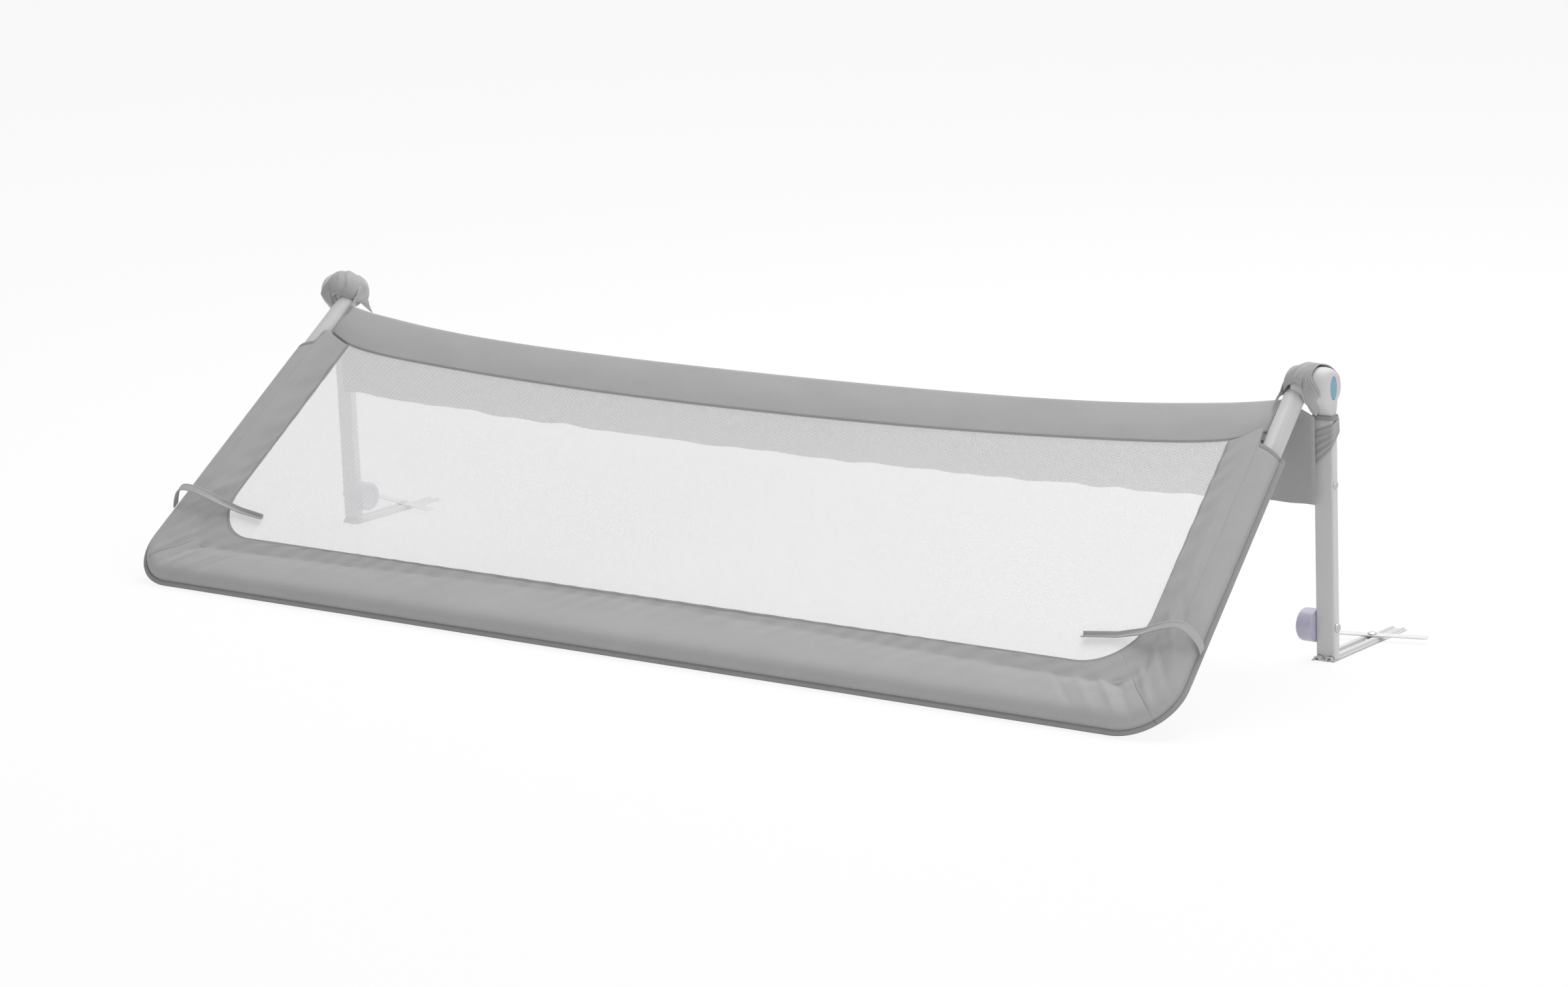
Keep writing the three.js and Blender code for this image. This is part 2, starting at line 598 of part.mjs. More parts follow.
// Plastic leg end: pivot disc with the gear's slots, domed leg and a plug for the steel tube
function legEnd() {
  const disc = turned([
    [0, -GAP / 2], [LEG_DISC_RADIUS, -GAP / 2], [LEG_DISC_RADIUS, CUT - LEG_DISC_WIDTH],
    [LEG_DISC_RADIUS - CUT, -LEG_DISC_WIDTH], [LEG_BOSS_RADIUS, -LEG_DISC_WIDTH],
    [LEG_BOSS_RADIUS, CUT - LEG_DISC_WIDTH - LEG_BOSS_WIDTH],
    [LEG_BOSS_RADIUS - CUT, -LEG_DISC_WIDTH - LEG_BOSS_WIDTH], [0, -LEG_DISC_WIDTH - LEG_BOSS_WIDTH],
  ], DISC_SEGMENTS).translate(JOINT_X, 0, 0);
  const domeSteps = 5;
  const rings = [];
  for (let step = 0; step <= domeSteps; step += 1) {
    const turn = Math.max(step / domeSteps, DOME_TIP_SHARE) * Math.PI / 2;
    const drop = LEG_DOME_START + LEG_DOME_LENGTH * (1 - Math.cos(turn));
    rings.push(legRing(LEG_HALF_WIDTH * Math.sin(turn), LEG_HALF_DEPTH * Math.sin(turn), drop));
  }
  rings.push(legRing(LEG_HALF_WIDTH, LEG_HALF_DEPTH, LEG_END_LENGTH));
  const plugWidth = LEG_HALF_WIDTH - LEG_WALL - GAP;
  const plugDepth = LEG_HALF_DEPTH - LEG_WALL - GAP;
  const plug = loft([LEG_END_LENGTH - CUT, LEG_END_LENGTH + LEG_PLUG_LENGTH]
    .map((drop) => legRing(plugWidth, plugDepth, drop)));
  const recess = GAP + LOCK_GEAR_WIDTH + SPRING_LENGTH;
  return cutBy(
    joined(disc, loft(rings), plug),
    lockSlots(LOCK_SLOTS / 2, -recess, CUT).translate(JOINT_X, 0, 0),
    roundBar(PIN_RADIUS + RUNNING_GAP, JOINT_X - PIN_REACH - GAP, JOINT_X),
  );
}

// A path down the leg, round the corner and along the crossbar to the middle of the rail. The
// phase runs 0 to 1 down the leg, 1 to 2 round the bend and 2 to 3 along the crossbar.
function cornerPath(startDrop, offsetX, crossDrop, bend) {
  const start = new THREE.Vector2(legX(startDrop) - offsetX, -startDrop);
  const corner = new THREE.Vector2(legX(crossDrop) - offsetX, -crossDrop);
  const down = corner.clone().sub(start).normalize();
  const outward = new THREE.Vector2(-down.y, down.x);
  const turn = Math.acos(-down.x);
  const trim = bend / Math.tan((Math.PI - turn) / 2);
  const bendStart = corner.clone().addScaledVector(down, -trim);
  const centre = bendStart.clone().addScaledVector(outward, -bend);
  const firstAngle = Math.atan2(outward.y, outward.x);
  const lastAngle = -Math.PI / 2;
  const middle = new THREE.Vector2(0, -crossDrop);
  return (phase) => {
    if (phase <= 1) return { point: start.clone().lerp(bendStart, phase), normal: outward.clone() };
    const angle = THREE.MathUtils.lerp(firstAngle, lastAngle, Math.min(phase - 1, 1));
    const normal = new THREE.Vector2(Math.cos(angle), Math.sin(angle));
    const point = centre.clone().addScaledVector(normal, bend);
    if (phase > 2) point.lerp(middle, phase - 2);
    return { point, normal };
  };
}

const LEG_SHARES = [0, 0.5, 1];
const BEND_IN_SHARES = [1.17, 1.33];
const MITRE_SHARE = 1.5;
const BEND_OUT_SHARES = [1.67, 1.83];
const BAR_SHARES = [2, 2.5, 3];
const NET_EDGE_SHARES = [0.05, 0.5, 1, 1.25, 1.5, 1.75, 2];
const tubePath = cornerPath(LEG_END_LENGTH + GAP, 0, CROSSBAR_DROP, TUBE_BEND);
const sleevePath = cornerPath(HEM_DROP, 0, CROSSBAR_DROP, TUBE_BEND);
const windowPath = cornerPath(HEM_DROP, LEG_MARGIN, CROSSBAR_DROP - BOTTOM_MARGIN, WINDOW_BEND);

function tubeRing(path, phase, halfWidth, halfDepth) {
  const { point, normal } = path(phase);
  return ovalRing(halfWidth, halfDepth, (across, deep) => new THREE.Vector3(
    point.x + normal.x * across,
    deep,
    point.y + normal.y * across,
  ));
}

// Phase along the crossbar at which the path is at a given x
function crossbarPhase(path, x) {
  const bendEnd = path(2).point.x;
  return 2 + (bendEnd - x) / bendEnd;
}

function legTube() {
  const end = crossbarPhase(tubePath, CROSSBAR_HALF);
  const phases = [0, 1, ...BEND_IN_SHARES, MITRE_SHARE, ...BEND_OUT_SHARES, 2, end];
  const rings = (width, depth) => phases.map((phase) => tubeRing(tubePath, phase, width, depth));
  const tube = hollowLoft(
    rings(LEG_HALF_WIDTH, LEG_HALF_DEPTH),
    rings(LEG_HALF_WIDTH - LEG_WALL, LEG_HALF_DEPTH - LEG_WALL),
  );
  return cutBy(tube, snapHole());
}

function snapHole() {
  const radius = SNAP_RADIUS + GAP;
  const hole = new THREE.CylinderGeometry(radius, radius, LEG_HALF_DEPTH + CUT, PIN_SEGMENTS);
  return hole.translate(CROSSBAR_HALF + SNAP_OFFSET, (LEG_HALF_DEPTH + CUT) / 2, -CROSSBAR_DROP);
}

function crossbarRing(x, halfWidth, halfDepth) {
  return ovalRing(halfWidth, halfDepth, (z, y) => new THREE.Vector3(x, y, z - CROSSBAR_DROP));
}

function crossbarTube() {
  const ends = [-CROSSBAR_HALF + GAP, CROSSBAR_HALF - GAP];
  return hollowLoft(
    ends.map((x) => crossbarRing(x, LEG_HALF_WIDTH, LEG_HALF_DEPTH)),
    ends.map((x) => crossbarRing(x, LEG_HALF_WIDTH - LEG_WALL, LEG_HALF_DEPTH - LEG_WALL)),
  );
}

// Inner tube across a crossbar joint, with the hole for its snap button
function connector() {
  const width = LEG_HALF_WIDTH - LEG_WALL - GAP;
  const depth = LEG_HALF_DEPTH - LEG_WALL - GAP;
  const ends = [CROSSBAR_HALF - CONNECTOR_LENGTH / 2, CROSSBAR_HALF + CONNECTOR_LENGTH / 2];
  const tube = hollowLoft(
    ends.map((x) => crossbarRing(x, width, depth)),
    ends.map((x) => crossbarRing(x, width - LEG_WALL, depth - LEG_WALL)),
  );
  return cutBy(tube, snapHole());
}

// Snap button: a pin through both walls, its wide foot held against the inside of the connector
function snapButton() {
  const footRadius = SNAP_RADIUS + LEG_WALL;
  const insideWidth = LEG_HALF_WIDTH - 2 * LEG_WALL - GAP;
  const insideDepth = LEG_HALF_DEPTH - 2 * LEG_WALL - GAP;
  const seat = insideDepth * Math.sqrt(1 - (footRadius / insideWidth) ** 2) - 2 * GAP;
  const tip = LEG_HALF_DEPTH - GAP;
  const pin = new THREE.CylinderGeometry(SNAP_RADIUS, SNAP_RADIUS, tip - seat + LEG_WALL, PIN_SEGMENTS);
  pin.translate(0, (tip + seat - LEG_WALL) / 2, 0);
  const foot = new THREE.CylinderGeometry(footRadius, footRadius, LEG_WALL, PIN_SEGMENTS);
  foot.translate(0, seat - LEG_WALL / 2, 0);
  return joined(pin, foot).translate(CROSSBAR_HALF + SNAP_OFFSET, 0, -CROSSBAR_DROP);
}

// Half depth of the sleeve at a distance from the tube's middle, outwards being positive
function sleeveHalfDepth(across) {
  if (across > 0) {
    const fall = Math.sqrt(Math.max(0, 1 - (across / SLEEVE_EDGE) ** 2));
    return Math.max(SLEEVE_BULGE * fall, SLEEVE_RISE_EDGE);
  }
  const share = Math.min(1, -across / SLEEVE_SPAN);
  return CLOTH / 2 + (SLEEVE_BULGE - CLOTH / 2) * Math.cos(share * Math.PI / 2) ** 2;
}

// Shift down the leg of the sleeve's top edge, from its place over the middle of the tube
function hemShift(across, x) {
  const overTube = across > -LEG_HALF_WIDTH - SLEEVE_FIT;
  return overTube ? HEM_RAKE * across : seamDrop(x) + SEAM_GAP - HEM_DROP;
}

// One sleeve section: the outer ring hugs the tube and runs flat to the window
function sleeveRings(phase) {
  const outer = [];
  const inner = [];
  const { point, normal } = sleevePath(phase);
  const edge = windowPath(phase).point;
  const fade = Math.max(0, 1 - phase);
  const columns = 11;
  const boreWidth = LEG_HALF_WIDTH + SLEEVE_FIT;
  const boreDepth = LEG_HALF_DEPTH + SLEEVE_FIT;
  const margin = edge.distanceTo(point);
  const down = new THREE.Vector2(normal.y, -normal.x);
  const placed = (across, depth, shift) => {
    const place = point.clone().addScaledVector(normal, Math.max(across, -boreWidth));
    if (across < -boreWidth) place.lerp(edge, (-across - boreWidth) / (margin - boreWidth));
    place.addScaledVector(down, fade * shift(place.x));
    return new THREE.Vector3(place.x, depth, place.y);
  };
  for (const face of [-1, 1]) {
    for (let column = 0; column < columns; column += 1) {
      const share = face < 0 ? column / (columns - 1) : 1 - column / (columns - 1);
      const turn = Math.PI * (1 - share);
      const overTube = Math.max(0, share * 2 - 1);
      const across = overTube > 0
        ? THREE.MathUtils.lerp(-boreWidth, SLEEVE_EDGE, (1 - Math.cos(overTube * Math.PI)) / 2)
        : THREE.MathUtils.lerp(-margin, -boreWidth, share * 2);
      outer.push(placed(across, face * sleeveHalfDepth(across), (x) => hemShift(across, x)));
      const boreAcross = boreWidth * Math.cos(turn);
      const boreY = face * Math.max(boreDepth * Math.sin(turn), SLEEVE_FIT);
      inner.push(placed(boreAcross, boreY, () => HEM_RAKE * boreAcross));
    }
  }
  return { outer, inner };
}

function sleeve(phases) {
  const sections = phases.map(sleeveRings);
  return hollowLoft(sections.map((section) => section.outer), sections.map((section) => section.inner));
}

function legSleeve() {
  return sleeve([...LEG_SHARES, ...BEND_IN_SHARES, MITRE_SHARE - MITRE_GAP_SHARE]);
}

// The crossbar sleeve runs from mitre to mitre, the left half being the right one mirrored
function bottomSleeve() {
  const half = [MITRE_SHARE + MITRE_GAP_SHARE, ...BEND_OUT_SHARES, ...BAR_SHARES].map(sleeveRings);
  const mirror = (ring) => ring.map((point) => new THREE.Vector3(-point.x, point.y, point.z));
  const mirrored = ({ outer, inner }) => ({ outer: mirror(outer), inner: mirror(inner) });
  const sections = [...half, ...half.slice(0, -1).reverse().map(mirrored)];
  return hollowLoft(sections.map((section) => section.outer), sections.map((section) => section.inner));
}

// Drop of the fold line and of the net seam below the hinge axis, by place along the rail
function foldDrop(x) {
  const share = Math.abs(x / BAND_HALF);
  return BAND_FOLD_DROP - BAND_FOLD_LIFT * share ** 5 - BAND_FOLD_BOW * share ** 2;
}

function seamDrop(x) {
  const share = Math.abs(x / BAND_HALF);
  return BAND_SEAM_DROP - BAND_SEAM_LIFT * share ** 2.2 - BAND_SEAM_CURL * share ** 20;
}

function hingeBand() {
  return sheet((u, v) => {
    const x = THREE.MathUtils.lerp(-BAND_HALF, BAND_HALF, u);
    const drop = THREE.MathUtils.lerp(seamDrop(x), foldDrop(x), v);
    const crown = CLOTH * Math.sin(v * Math.PI);
    return new THREE.Vector3(x, -crown, -drop);
  }, 32, 3, CLOTH);
}

// The net hangs between the sleeves and the band, with diamond gaps in staggered rows
function windowNet() {
  const outline = new THREE.Shape();
  const inset = SEAM_GAP;
  const right = NET_EDGE_SHARES.map((phase) => {
    const { point, normal } = windowPath(phase);
    return point.addScaledVector(normal, -inset);
  });
  const top = [];
  const topSteps = 20;
  const topHalf = legX(seamDrop(right[0].x)) - LEG_MARGIN - inset;
  for (let step = 0; step <= topSteps; step += 1) {
    const x = THREE.MathUtils.lerp(-topHalf, topHalf, step / topSteps);
    top.push(new THREE.Vector2(x, -seamDrop(x) - CLOTH));
  }
  const bottom = right.slice(1);
  const left = bottom.map((point) => new THREE.Vector2(-point.x, point.y)).reverse();
  [...top, ...bottom, ...left].forEach((point, index) => {
    if (index === 0) outline.moveTo(point.x, point.y);
    else outline.lineTo(point.x, point.y);
  });
  const bottomEdge = -(CROSSBAR_DROP - BOTTOM_MARGIN);
  const clearHalf = topHalf - NET_BORDER;
  const pitchX = 2 * clearHalf / NET_COLUMNS;
  const topEdge = -BAND_SEAM_DROP;
  const pitchZ = (topEdge - bottomEdge - 2 * NET_BORDER) / NET_ROWS;
  for (let row = 0; row < NET_ROWS * 2 - 1; row += 1) {
    const odd = row % 2;
    const count = NET_COLUMNS - odd;
    for (let column = 0; column < count; column += 1) {
      const x = (column + 0.5 + odd / 2) * pitchX - clearHalf;
      const z = bottomEdge + NET_BORDER + (row / 2 + 0.5) * pitchZ;
      const halfX = pitchX / 2 - NET_STRAND;
      const halfZ = pitchZ / 2 - NET_STRAND;
      if (Math.abs(x) + halfX > clearHalf - WINDOW_BEND / 2 && z < bottomEdge + WINDOW_BEND) continue;
      const gap = new THREE.Path();
      gap.moveTo(x - halfX, z);
      gap.lineTo(x, z - halfZ);
      gap.lineTo(x + halfX, z);
      gap.lineTo(x, z + halfZ);
      outline.holes.push(gap);
    }
  }
  const net = prism(outline, NET_THICKNESS);
  return net.rotateX(Math.PI / 2).translate(0, NET_THICKNESS / 2, 0);
}

// Place of a guard point once the guard is folded, in the frame of the whole object
function folded(x, y, drop) {
  const cos = Math.cos(FOLD_ANGLE);
  const sin = Math.sin(FOLD_ANGLE);
  const back = -HINGE_FORWARD + y * cos - drop * sin;
  return new THREE.Vector3(x, back, HINGE_HEIGHT - y * sin - drop * cos);
}

// Skirt behind the guard: hangs from the fold line and is held at the uprights
function backSkirt() {
  return sheet((u, v) => {
    const x = THREE.MathUtils.lerp(-SKIRT_HALF, SKIRT_HALF, u);
    const share = Math.min(1, Math.abs(x) / BAND_HALF);
    const fold = folded(x, 0, foldDrop(x) - GAP);
    const under = share ** 12;
    const topY = THREE.MathUtils.lerp(fold.y + SKIRT_SEAT, SKIRT_END_Y, under);
    const topZ = THREE.MathUtils.lerp(fold.z - SKIRT_SEAT, HINGE_HEIGHT - SKIRT_END_DROP, under);
    const bottomY = THREE.MathUtils.lerp(SKIRT_BOTTOM_Y, SKIRT_END_Y, share ** 2);
    const bottomZ = HINGE_HEIGHT - SKIRT_BOTTOM_DROP + SKIRT_BOTTOM_LIFT * share ** 2;
    const depth = SKIRT_FOLD_DEPTH * (1 - share ** 4) * (1 - v);
    const wave = depth * Math.sin(u * SKIRT_FOLDS * 2 * Math.PI);
    return new THREE.Vector3(
      x,
      THREE.MathUtils.lerp(bottomY, topY, v) + wave,
      THREE.MathUtils.lerp(bottomZ, topZ, v),
    );
  }, 45, 3, CLOTH);
}

// Fabric wrapped slantwise round the upright, from its inboard front corner to the back
function uprightWrap() {
  const x = UPRIGHT_WIDTH / 2 + WRAP_CLEAR + CLOTH / 2;
  const y = UPRIGHT_DEPTH / 2 + WRAP_CLEAR + CLOTH / 2;
  const corners = [[-x, -y], [x, -y], [x, y], [-x, y]];
  const lengths = [2 * x, 2 * y, 2 * x];
  const total = lengths.reduce((sum, length) => sum + length, 0);
  const round = UPRIGHT_CORNER;
  const placeAt = (distance) => {
    let rest = THREE.MathUtils.clamp(distance, 0, total);
    let side = 0;
    while (side < 2 && rest > lengths[side]) {
      rest -= lengths[side];
      side += 1;
    }
    const from = corners[side];
    const to = corners[side + 1];
    const share = rest / lengths[side];
    return new THREE.Vector2(...from).lerp(new THREE.Vector2(...to), share);
  };
  return sheet((u, v) => {
    const distance = u * total;
    const place = placeAt(distance - round).lerp(placeAt(distance + round), 1 / 2);
    const climb = WRAP_RAKE * (Math.min(distance, lengths[0] + lengths[1]) - x);
    const drop = THREE.MathUtils.lerp(WRAP_LOW_DROP, WRAP_HIGH_DROP, v);
    const z = HINGE_HEIGHT - drop + climb * THREE.MathUtils.lerp(1, WRAP_TOP_RAKE_SHARE, v);
    return new THREE.Vector3(UPRIGHT_X + place.x, place.y, z);
  }, 16, 2, CLOTH);
}

// Fabric hood over the hinge: an arch over the leg, and a part that comes down in front of the
// housing beside it. Its rows lie close together where the arch turns down.
const TURN_SHARES = [0, 0.25, 0.5, 0.75, 1];

function hingeHood() {
  const back = THREE.MathUtils.degToRad(HOOD_BACK_DEGREES);
  const rows = [
    -HOOD_INNER, (HOOD_LEG_CLEAR - HOOD_INNER) / 2,
    ...TURN_SHARES.map((share) => HOOD_LEG_CLEAR + HOOD_LEG_TURN * share), HOOD_OUTER,
  ];
  return sheet((u, v) => {
    const row = THREE.MathUtils.clamp(Math.floor(v * (rows.length - 1)), 0, rows.length - 2);
    const x = THREE.MathUtils.lerp(rows[row], rows[row + 1], v * (rows.length - 1) - row);
    const beside = THREE.MathUtils.clamp((x - HOOD_LEG_CLEAR) / HOOD_LEG_TURN, 0, 1);
    const overLeg = THREE.MathUtils.clamp(-x / HOOD_INNER, 0, 1);
    const arch = HOOD_ARCH_DEGREES - HOOD_ARCH_RISE_DEGREES * Math.sin(overLeg * Math.PI);
    const front = THREE.MathUtils.degToRad(THREE.MathUtils.lerp(arch, HOOD_FRONT_DEGREES, beside));
    const turn = THREE.MathUtils.lerp(front, -back, u);
    const close = Math.max(0, -x / HOOD_INNER);
    const radius = HOOD_RADIUS - HOOD_DRAW_IN * close ** 2;
    return new THREE.Vector3(
      JOINT_X + x,
      -HINGE_FORWARD - radius * Math.sin(turn),
      HINGE_HEIGHT + radius * Math.cos(turn),
    );
  }, 14, rows.length - 1, HOOD_THICKNESS);
}

// Tie strap: sewn in at the outer seam, arched steeply over the sleeve, its free end over the net
function tieStrap() {
  const rootX = legX(STRAP_DROP) + SLEEVE_EDGE - CLOTH;
  return sheet((u, v) => {
    const x = rootX - STRAP_REACH * u ** 2;
    const across = THREE.MathUtils.lerp(-STRAP_WIDTH, STRAP_WIDTH, v) / 2;
    const drop = STRAP_DROP - STRAP_CLIMB * Math.sin(u * Math.PI) + across;
    const seat = sleeveHalfDepth(x - legX(drop)) + STRAP_THICKNESS / 2 + STRAP_CLEAR;
    const arch = STRAP_ARCH * Math.sin(THREE.MathUtils.clamp(u / STRAP_ARCH_SHARE, 0, 1) * Math.PI);
    return new THREE.Vector3(x, -seat - arch, -drop);
  }, 20, 1, STRAP_THICKNESS);
}

// Section of a ribbed foot sheet, drawn with its underside on z = 0
function ribbedSection(inset) {
  const half = FOOT_WIDTH / 2;
  const top = [];
  const under = [];
  for (const rib of [-1, 1]) {
    const middle = rib * RIB_SPACING / 2;
    const outer = RIB_WIDTH / 2 - inset;
    const inner = outer - FOOT_SHEET;
    const crown = RIB_HEIGHT - inset;
    top.push([middle - outer, FOOT_SHEET], [middle - outer + RIB_SLOPE, crown]);
    top.push([middle + outer - RIB_SLOPE, crown], [middle + outer, FOOT_SHEET]);
    under.push([middle - inner, 0], [middle - inner + RIB_SLOPE, crown - FOOT_SHEET]);
    under.push([middle + inner - RIB_SLOPE, crown - FOOT_SHEET], [middle + inner, 0]);
  }
  const lower = [[-half, 0], ...under, [half, 0]];
  const upper = [[half, FOOT_SHEET], ...top.reverse(), [-half, FOOT_SHEET]];
  return new THREE.Shape([...lower, ...upper].map(([x, z]) => new THREE.Vector2(x, z)));
}

function ribbedSheet(inset, front, rear, lift) {
  const body = prism(ribbedSection(inset), rear - front);
  return body.rotateX(Math.PI / 2).translate(UPRIGHT_X, rear, lift);
}

function footHole(y) {
  const radius = RIVET_RADIUS + GAP;
  const hole = new THREE.CylinderGeometry(radius, radius, DOUBLER_TOP + 2 * CUT, PIN_SEGMENTS);
  return hole.rotateX(Math.PI / 2).translate(UPRIGHT_X, y, DOUBLER_TOP / 2);
}

// Long lower sheet of the foot, which stands on the ground
function footRail() {
  const body = ribbedSheet(FOOT_SHEET + GAP, RAIL_FRONT, RAIL_REAR, 0);
  return cutBy(body, footHole(STRIP_Y), footHole(SMALL_RIVET_Y));
}

// Shorter sheet nested on top of it, cut back at its outboard front corner
function footDoubler() {
  const corner = new THREE.Shape([
    new THREE.Vector2(-FOOT_WIDTH / 2 - CUT, DOUBLER_FRONT - DOUBLER_RAKE),
    new THREE.Vector2(FOOT_WIDTH / 2 + CUT, DOUBLER_FRONT - DOUBLER_RAKE),
    new THREE.Vector2(FOOT_WIDTH / 2 + CUT, DOUBLER_FRONT + DOUBLER_RAKE),
    new THREE.Vector2(-FOOT_WIDTH / 2 - CUT, DOUBLER_FRONT),
  ]);
  const cutter = prism(corner, DOUBLER_TOP + 2 * CUT).translate(UPRIGHT_X, 0, -CUT);
  const body = ribbedSheet(0, DOUBLER_FRONT, DOUBLER_REAR, DOUBLER_LIFT);
  return cutBy(body, cutter, footHole(STRIP_Y), footHole(SMALL_RIVET_Y));
}

// Post inside the upright, slotted so that the foot slides when the knob is slack
function footPost() {
  const bottom = DOUBLER_TOP + GAP;
  const body = prism(roundedRectangle(
    UPRIGHT_WIDTH - 2 * (UPRIGHT_WALL + GAP),
    UPRIGHT_DEPTH - 2 * (UPRIGHT_WALL + GAP),
    UPRIGHT_CORNER - UPRIGHT_WALL,
  ), POST_TOP - bottom);
  body.translate(UPRIGHT_X, 0, bottom);
  const slot = new THREE.Shape();
  const half = BOLT_RADIUS + GAP;
  slot.absarc(0, 0, half, Math.PI, Math.PI * 2);
  slot.absarc(0, FOOT_TRAVEL, half, 0, Math.PI);
  const cutter = prism(slot, UPRIGHT_WIDTH + 2 * CUT, 8);
  cutter.rotateX(Math.PI / 2).rotateZ(Math.PI / 2);
  cutter.translate(INNER_FACE_X - CUT, 0, BOLT_HEIGHT);
  return cutBy(body, cutter);
}

// Half profile of a domed head that sits on x
function domedHead(radius, height, x) {
  const steps = 3;
  const profile = [[radius, x]];
  for (let step = 1; step < steps; step += 1) {
    const turn = step / steps * Math.PI / 2;
    profile.push([radius * Math.cos(turn), x + height * Math.sin(turn)]);
  }
  return [...profile, [0, x + height]];
}

function throughBolt() {
  const seat = OUTER_FACE_X + GAP;
  const tip = INNER_FACE_X - KNOB_WIDTH + KNOB_TIP_WALL + GAP;
  const head = domedHead(BOLT_HEAD_RADIUS, BOLT_HEAD_HEIGHT, seat);
  const profile = [[0, tip], [BOLT_RADIUS, tip], [BOLT_RADIUS, seat], ...head];
  return turned(profile, PIN_SEGMENTS).translate(0, 0, BOLT_HEIGHT);
}

function upperScrew() {
  const seat = OUTER_FACE_X + GAP;
  const tip = OUTER_FACE_X - SCREW_LENGTH;
  const head = domedHead(SCREW_HEAD_RADIUS, SCREW_HEAD_HEIGHT, seat);
  const profile = [[0, tip], [SCREW_RADIUS, tip], [SCREW_RADIUS, seat], ...head];
  return turned(profile, PIN_SEGMENTS).translate(0, 0, SCREW_HEIGHT);
}

// Hand knob on the bolt, with rounded rims and a dished outer face
function clampKnob() {
  const near = INNER_FACE_X - GAP;
  const far = INNER_FACE_X - KNOB_WIDTH;
  const dish = far + KNOB_DIMPLE_DEPTH;
  const profile = [[0, dish], [KNOB_DIMPLE_RADIUS, dish], [KNOB_DIMPLE_RADIUS + KNOB_DIMPLE_DEPTH, far]];
  const steps = 3;
  for (let step = 0; step <= steps; step += 1) {
    const turn = step / steps * Math.PI / 2;
    const radius = KNOB_RADIUS - KNOB_ROUND * (1 - Math.sin(turn));
    profile.push([radius, far + KNOB_ROUND * (1 - Math.cos(turn))]);
  }
  profile.push([KNOB_RADIUS, near], [0, near]);
  const bore = roundBar(BOLT_RADIUS + RUNNING_GAP, far + KNOB_TIP_WALL, INNER_FACE_X + CUT, PIN_SEGMENTS);
  return cutBy(turned(profile), bore).translate(0, 0, BOLT_HEIGHT);
}

// Cross strip, swivelled on the domed rivet
function crossStrip() {
  const bottom = DOUBLER_TOP + GAP;
  const body = prism(roundedRectangle(STRIP_LENGTH, STRIP_WIDTH, STRIP_WIDTH / 4), STRIP_THICKNESS);
  const radius = RIVET_RADIUS + GAP;
  const hole = new THREE.CylinderGeometry(radius, radius, STRIP_THICKNESS + 2 * CUT, PIN_SEGMENTS);
  hole.rotateX(Math.PI / 2).translate(0, 0, STRIP_THICKNESS / 2);
  return cutBy(body, hole).rotateZ(STRIP_ANGLE).translate(UPRIGHT_X, STRIP_Y, bottom);
}

// A rivet through both sheets of the foot, headed above what it holds down
function rivet(headRadius, headHeight, seat, y) {
  const head = domedHead(headRadius, headHeight, seat);
  const profile = [[0, GAP], [RIVET_RADIUS, GAP], [RIVET_RADIUS, seat], ...head];
  return turned(profile, PIN_SEGMENTS).rotateY(-Math.PI / 2).translate(UPRIGHT_X, y, 0);
}

function swivelRivet() {
  return rivet(RIVET_HEAD_RADIUS, RIVET_HEAD_HEIGHT, DOUBLER_TOP + GAP + STRIP_THICKNESS + GAP, STRIP_Y);
}

function sheetRivet() {
  return rivet(SMALL_RIVET_HEAD, SMALL_RIVET_HEAD / 2, UPRIGHT_BOTTOM, SMALL_RIVET_Y);
}

// Pieces of one side that stand with the upright, and those that belong to the guard
function uprightPieces(side, name) {
  const atHinge = (geometry) => (
    handed(geometry.translate(JOINT_X, -HINGE_FORWARD, HINGE_HEIGHT), side)
  );
  return [
    piece(`${name}_upright_tube`, handed(uprightTube(), side), FINISH.steel),
    piece(`${name}_hinge_housing`, atHinge(hingeHousing()), FINISH.plastic),
    piece(`${name}_release_button`, atHinge(releaseButton()), FINISH.button),
    piece(`${name}_hinge_pin`, atHinge(hingePin()), FINISH.zinc),
    piece(`${name}_upper_screw`, handed(upperScrew(), side), FINISH.zinc),
    piece(`${name}_through_bolt`, handed(throughBolt(), side), FINISH.zinc),
    piece(`${name}_clamp_knob`, handed(clampKnob(), side), FINISH.knob),
    piece(`${name}_upright_wrap`, handed(uprightWrap(), side), FINISH.fabric),
    piece(`${name}_hinge_hood`, handed(hingeHood(), side), FINISH.fabric),
    piece(`${name}_foot_rail`, handed(footRail(), side), FINISH.steel),
    piece(`${name}_foot_doubler`, handed(footDoubler(), side), FINISH.steel),
    piece(`${name}_foot_post`, handed(footPost(), side), FINISH.steel),
    piece(`${name}_swivel_rivet`, handed(swivelRivet(), side), FINISH.zinc),
    piece(`${name}_sheet_rivet`, handed(sheetRivet(), side), FINISH.zinc),
    piece(`${name}_cross_strip`, handed(crossStrip(), side), FINISH.strip),
  ];
}

function guardPieces(side, name) {
  return [
    piece(`${name}_leg_end`, handed(legEnd(), side), FINISH.plastic),
    piece(`${name}_leg_tube`, handed(legTube(), side), FINISH.steel),
    piece(`${name}_lock_gear`, handed(lockGear().translate(JOINT_X, 0, 0), side), FINISH.plastic),
    piece(`${name}_lock_spring`, handed(springCoil().translate(JOINT_X, 0, 0), side), FINISH.zinc),
    piece(`${name}_connector`, handed(connector(), side), FINISH.steel),
    piece(`${name}_snap_button`, handed(snapButton(), side), FINISH.zinc),
    piece(`${name}_leg_sleeve`, handed(legSleeve(), side), FINISH.fabric),
    piece(`${name}_tie_strap`, handed(tieStrap(), side), FINISH.fabric),
  ];
}

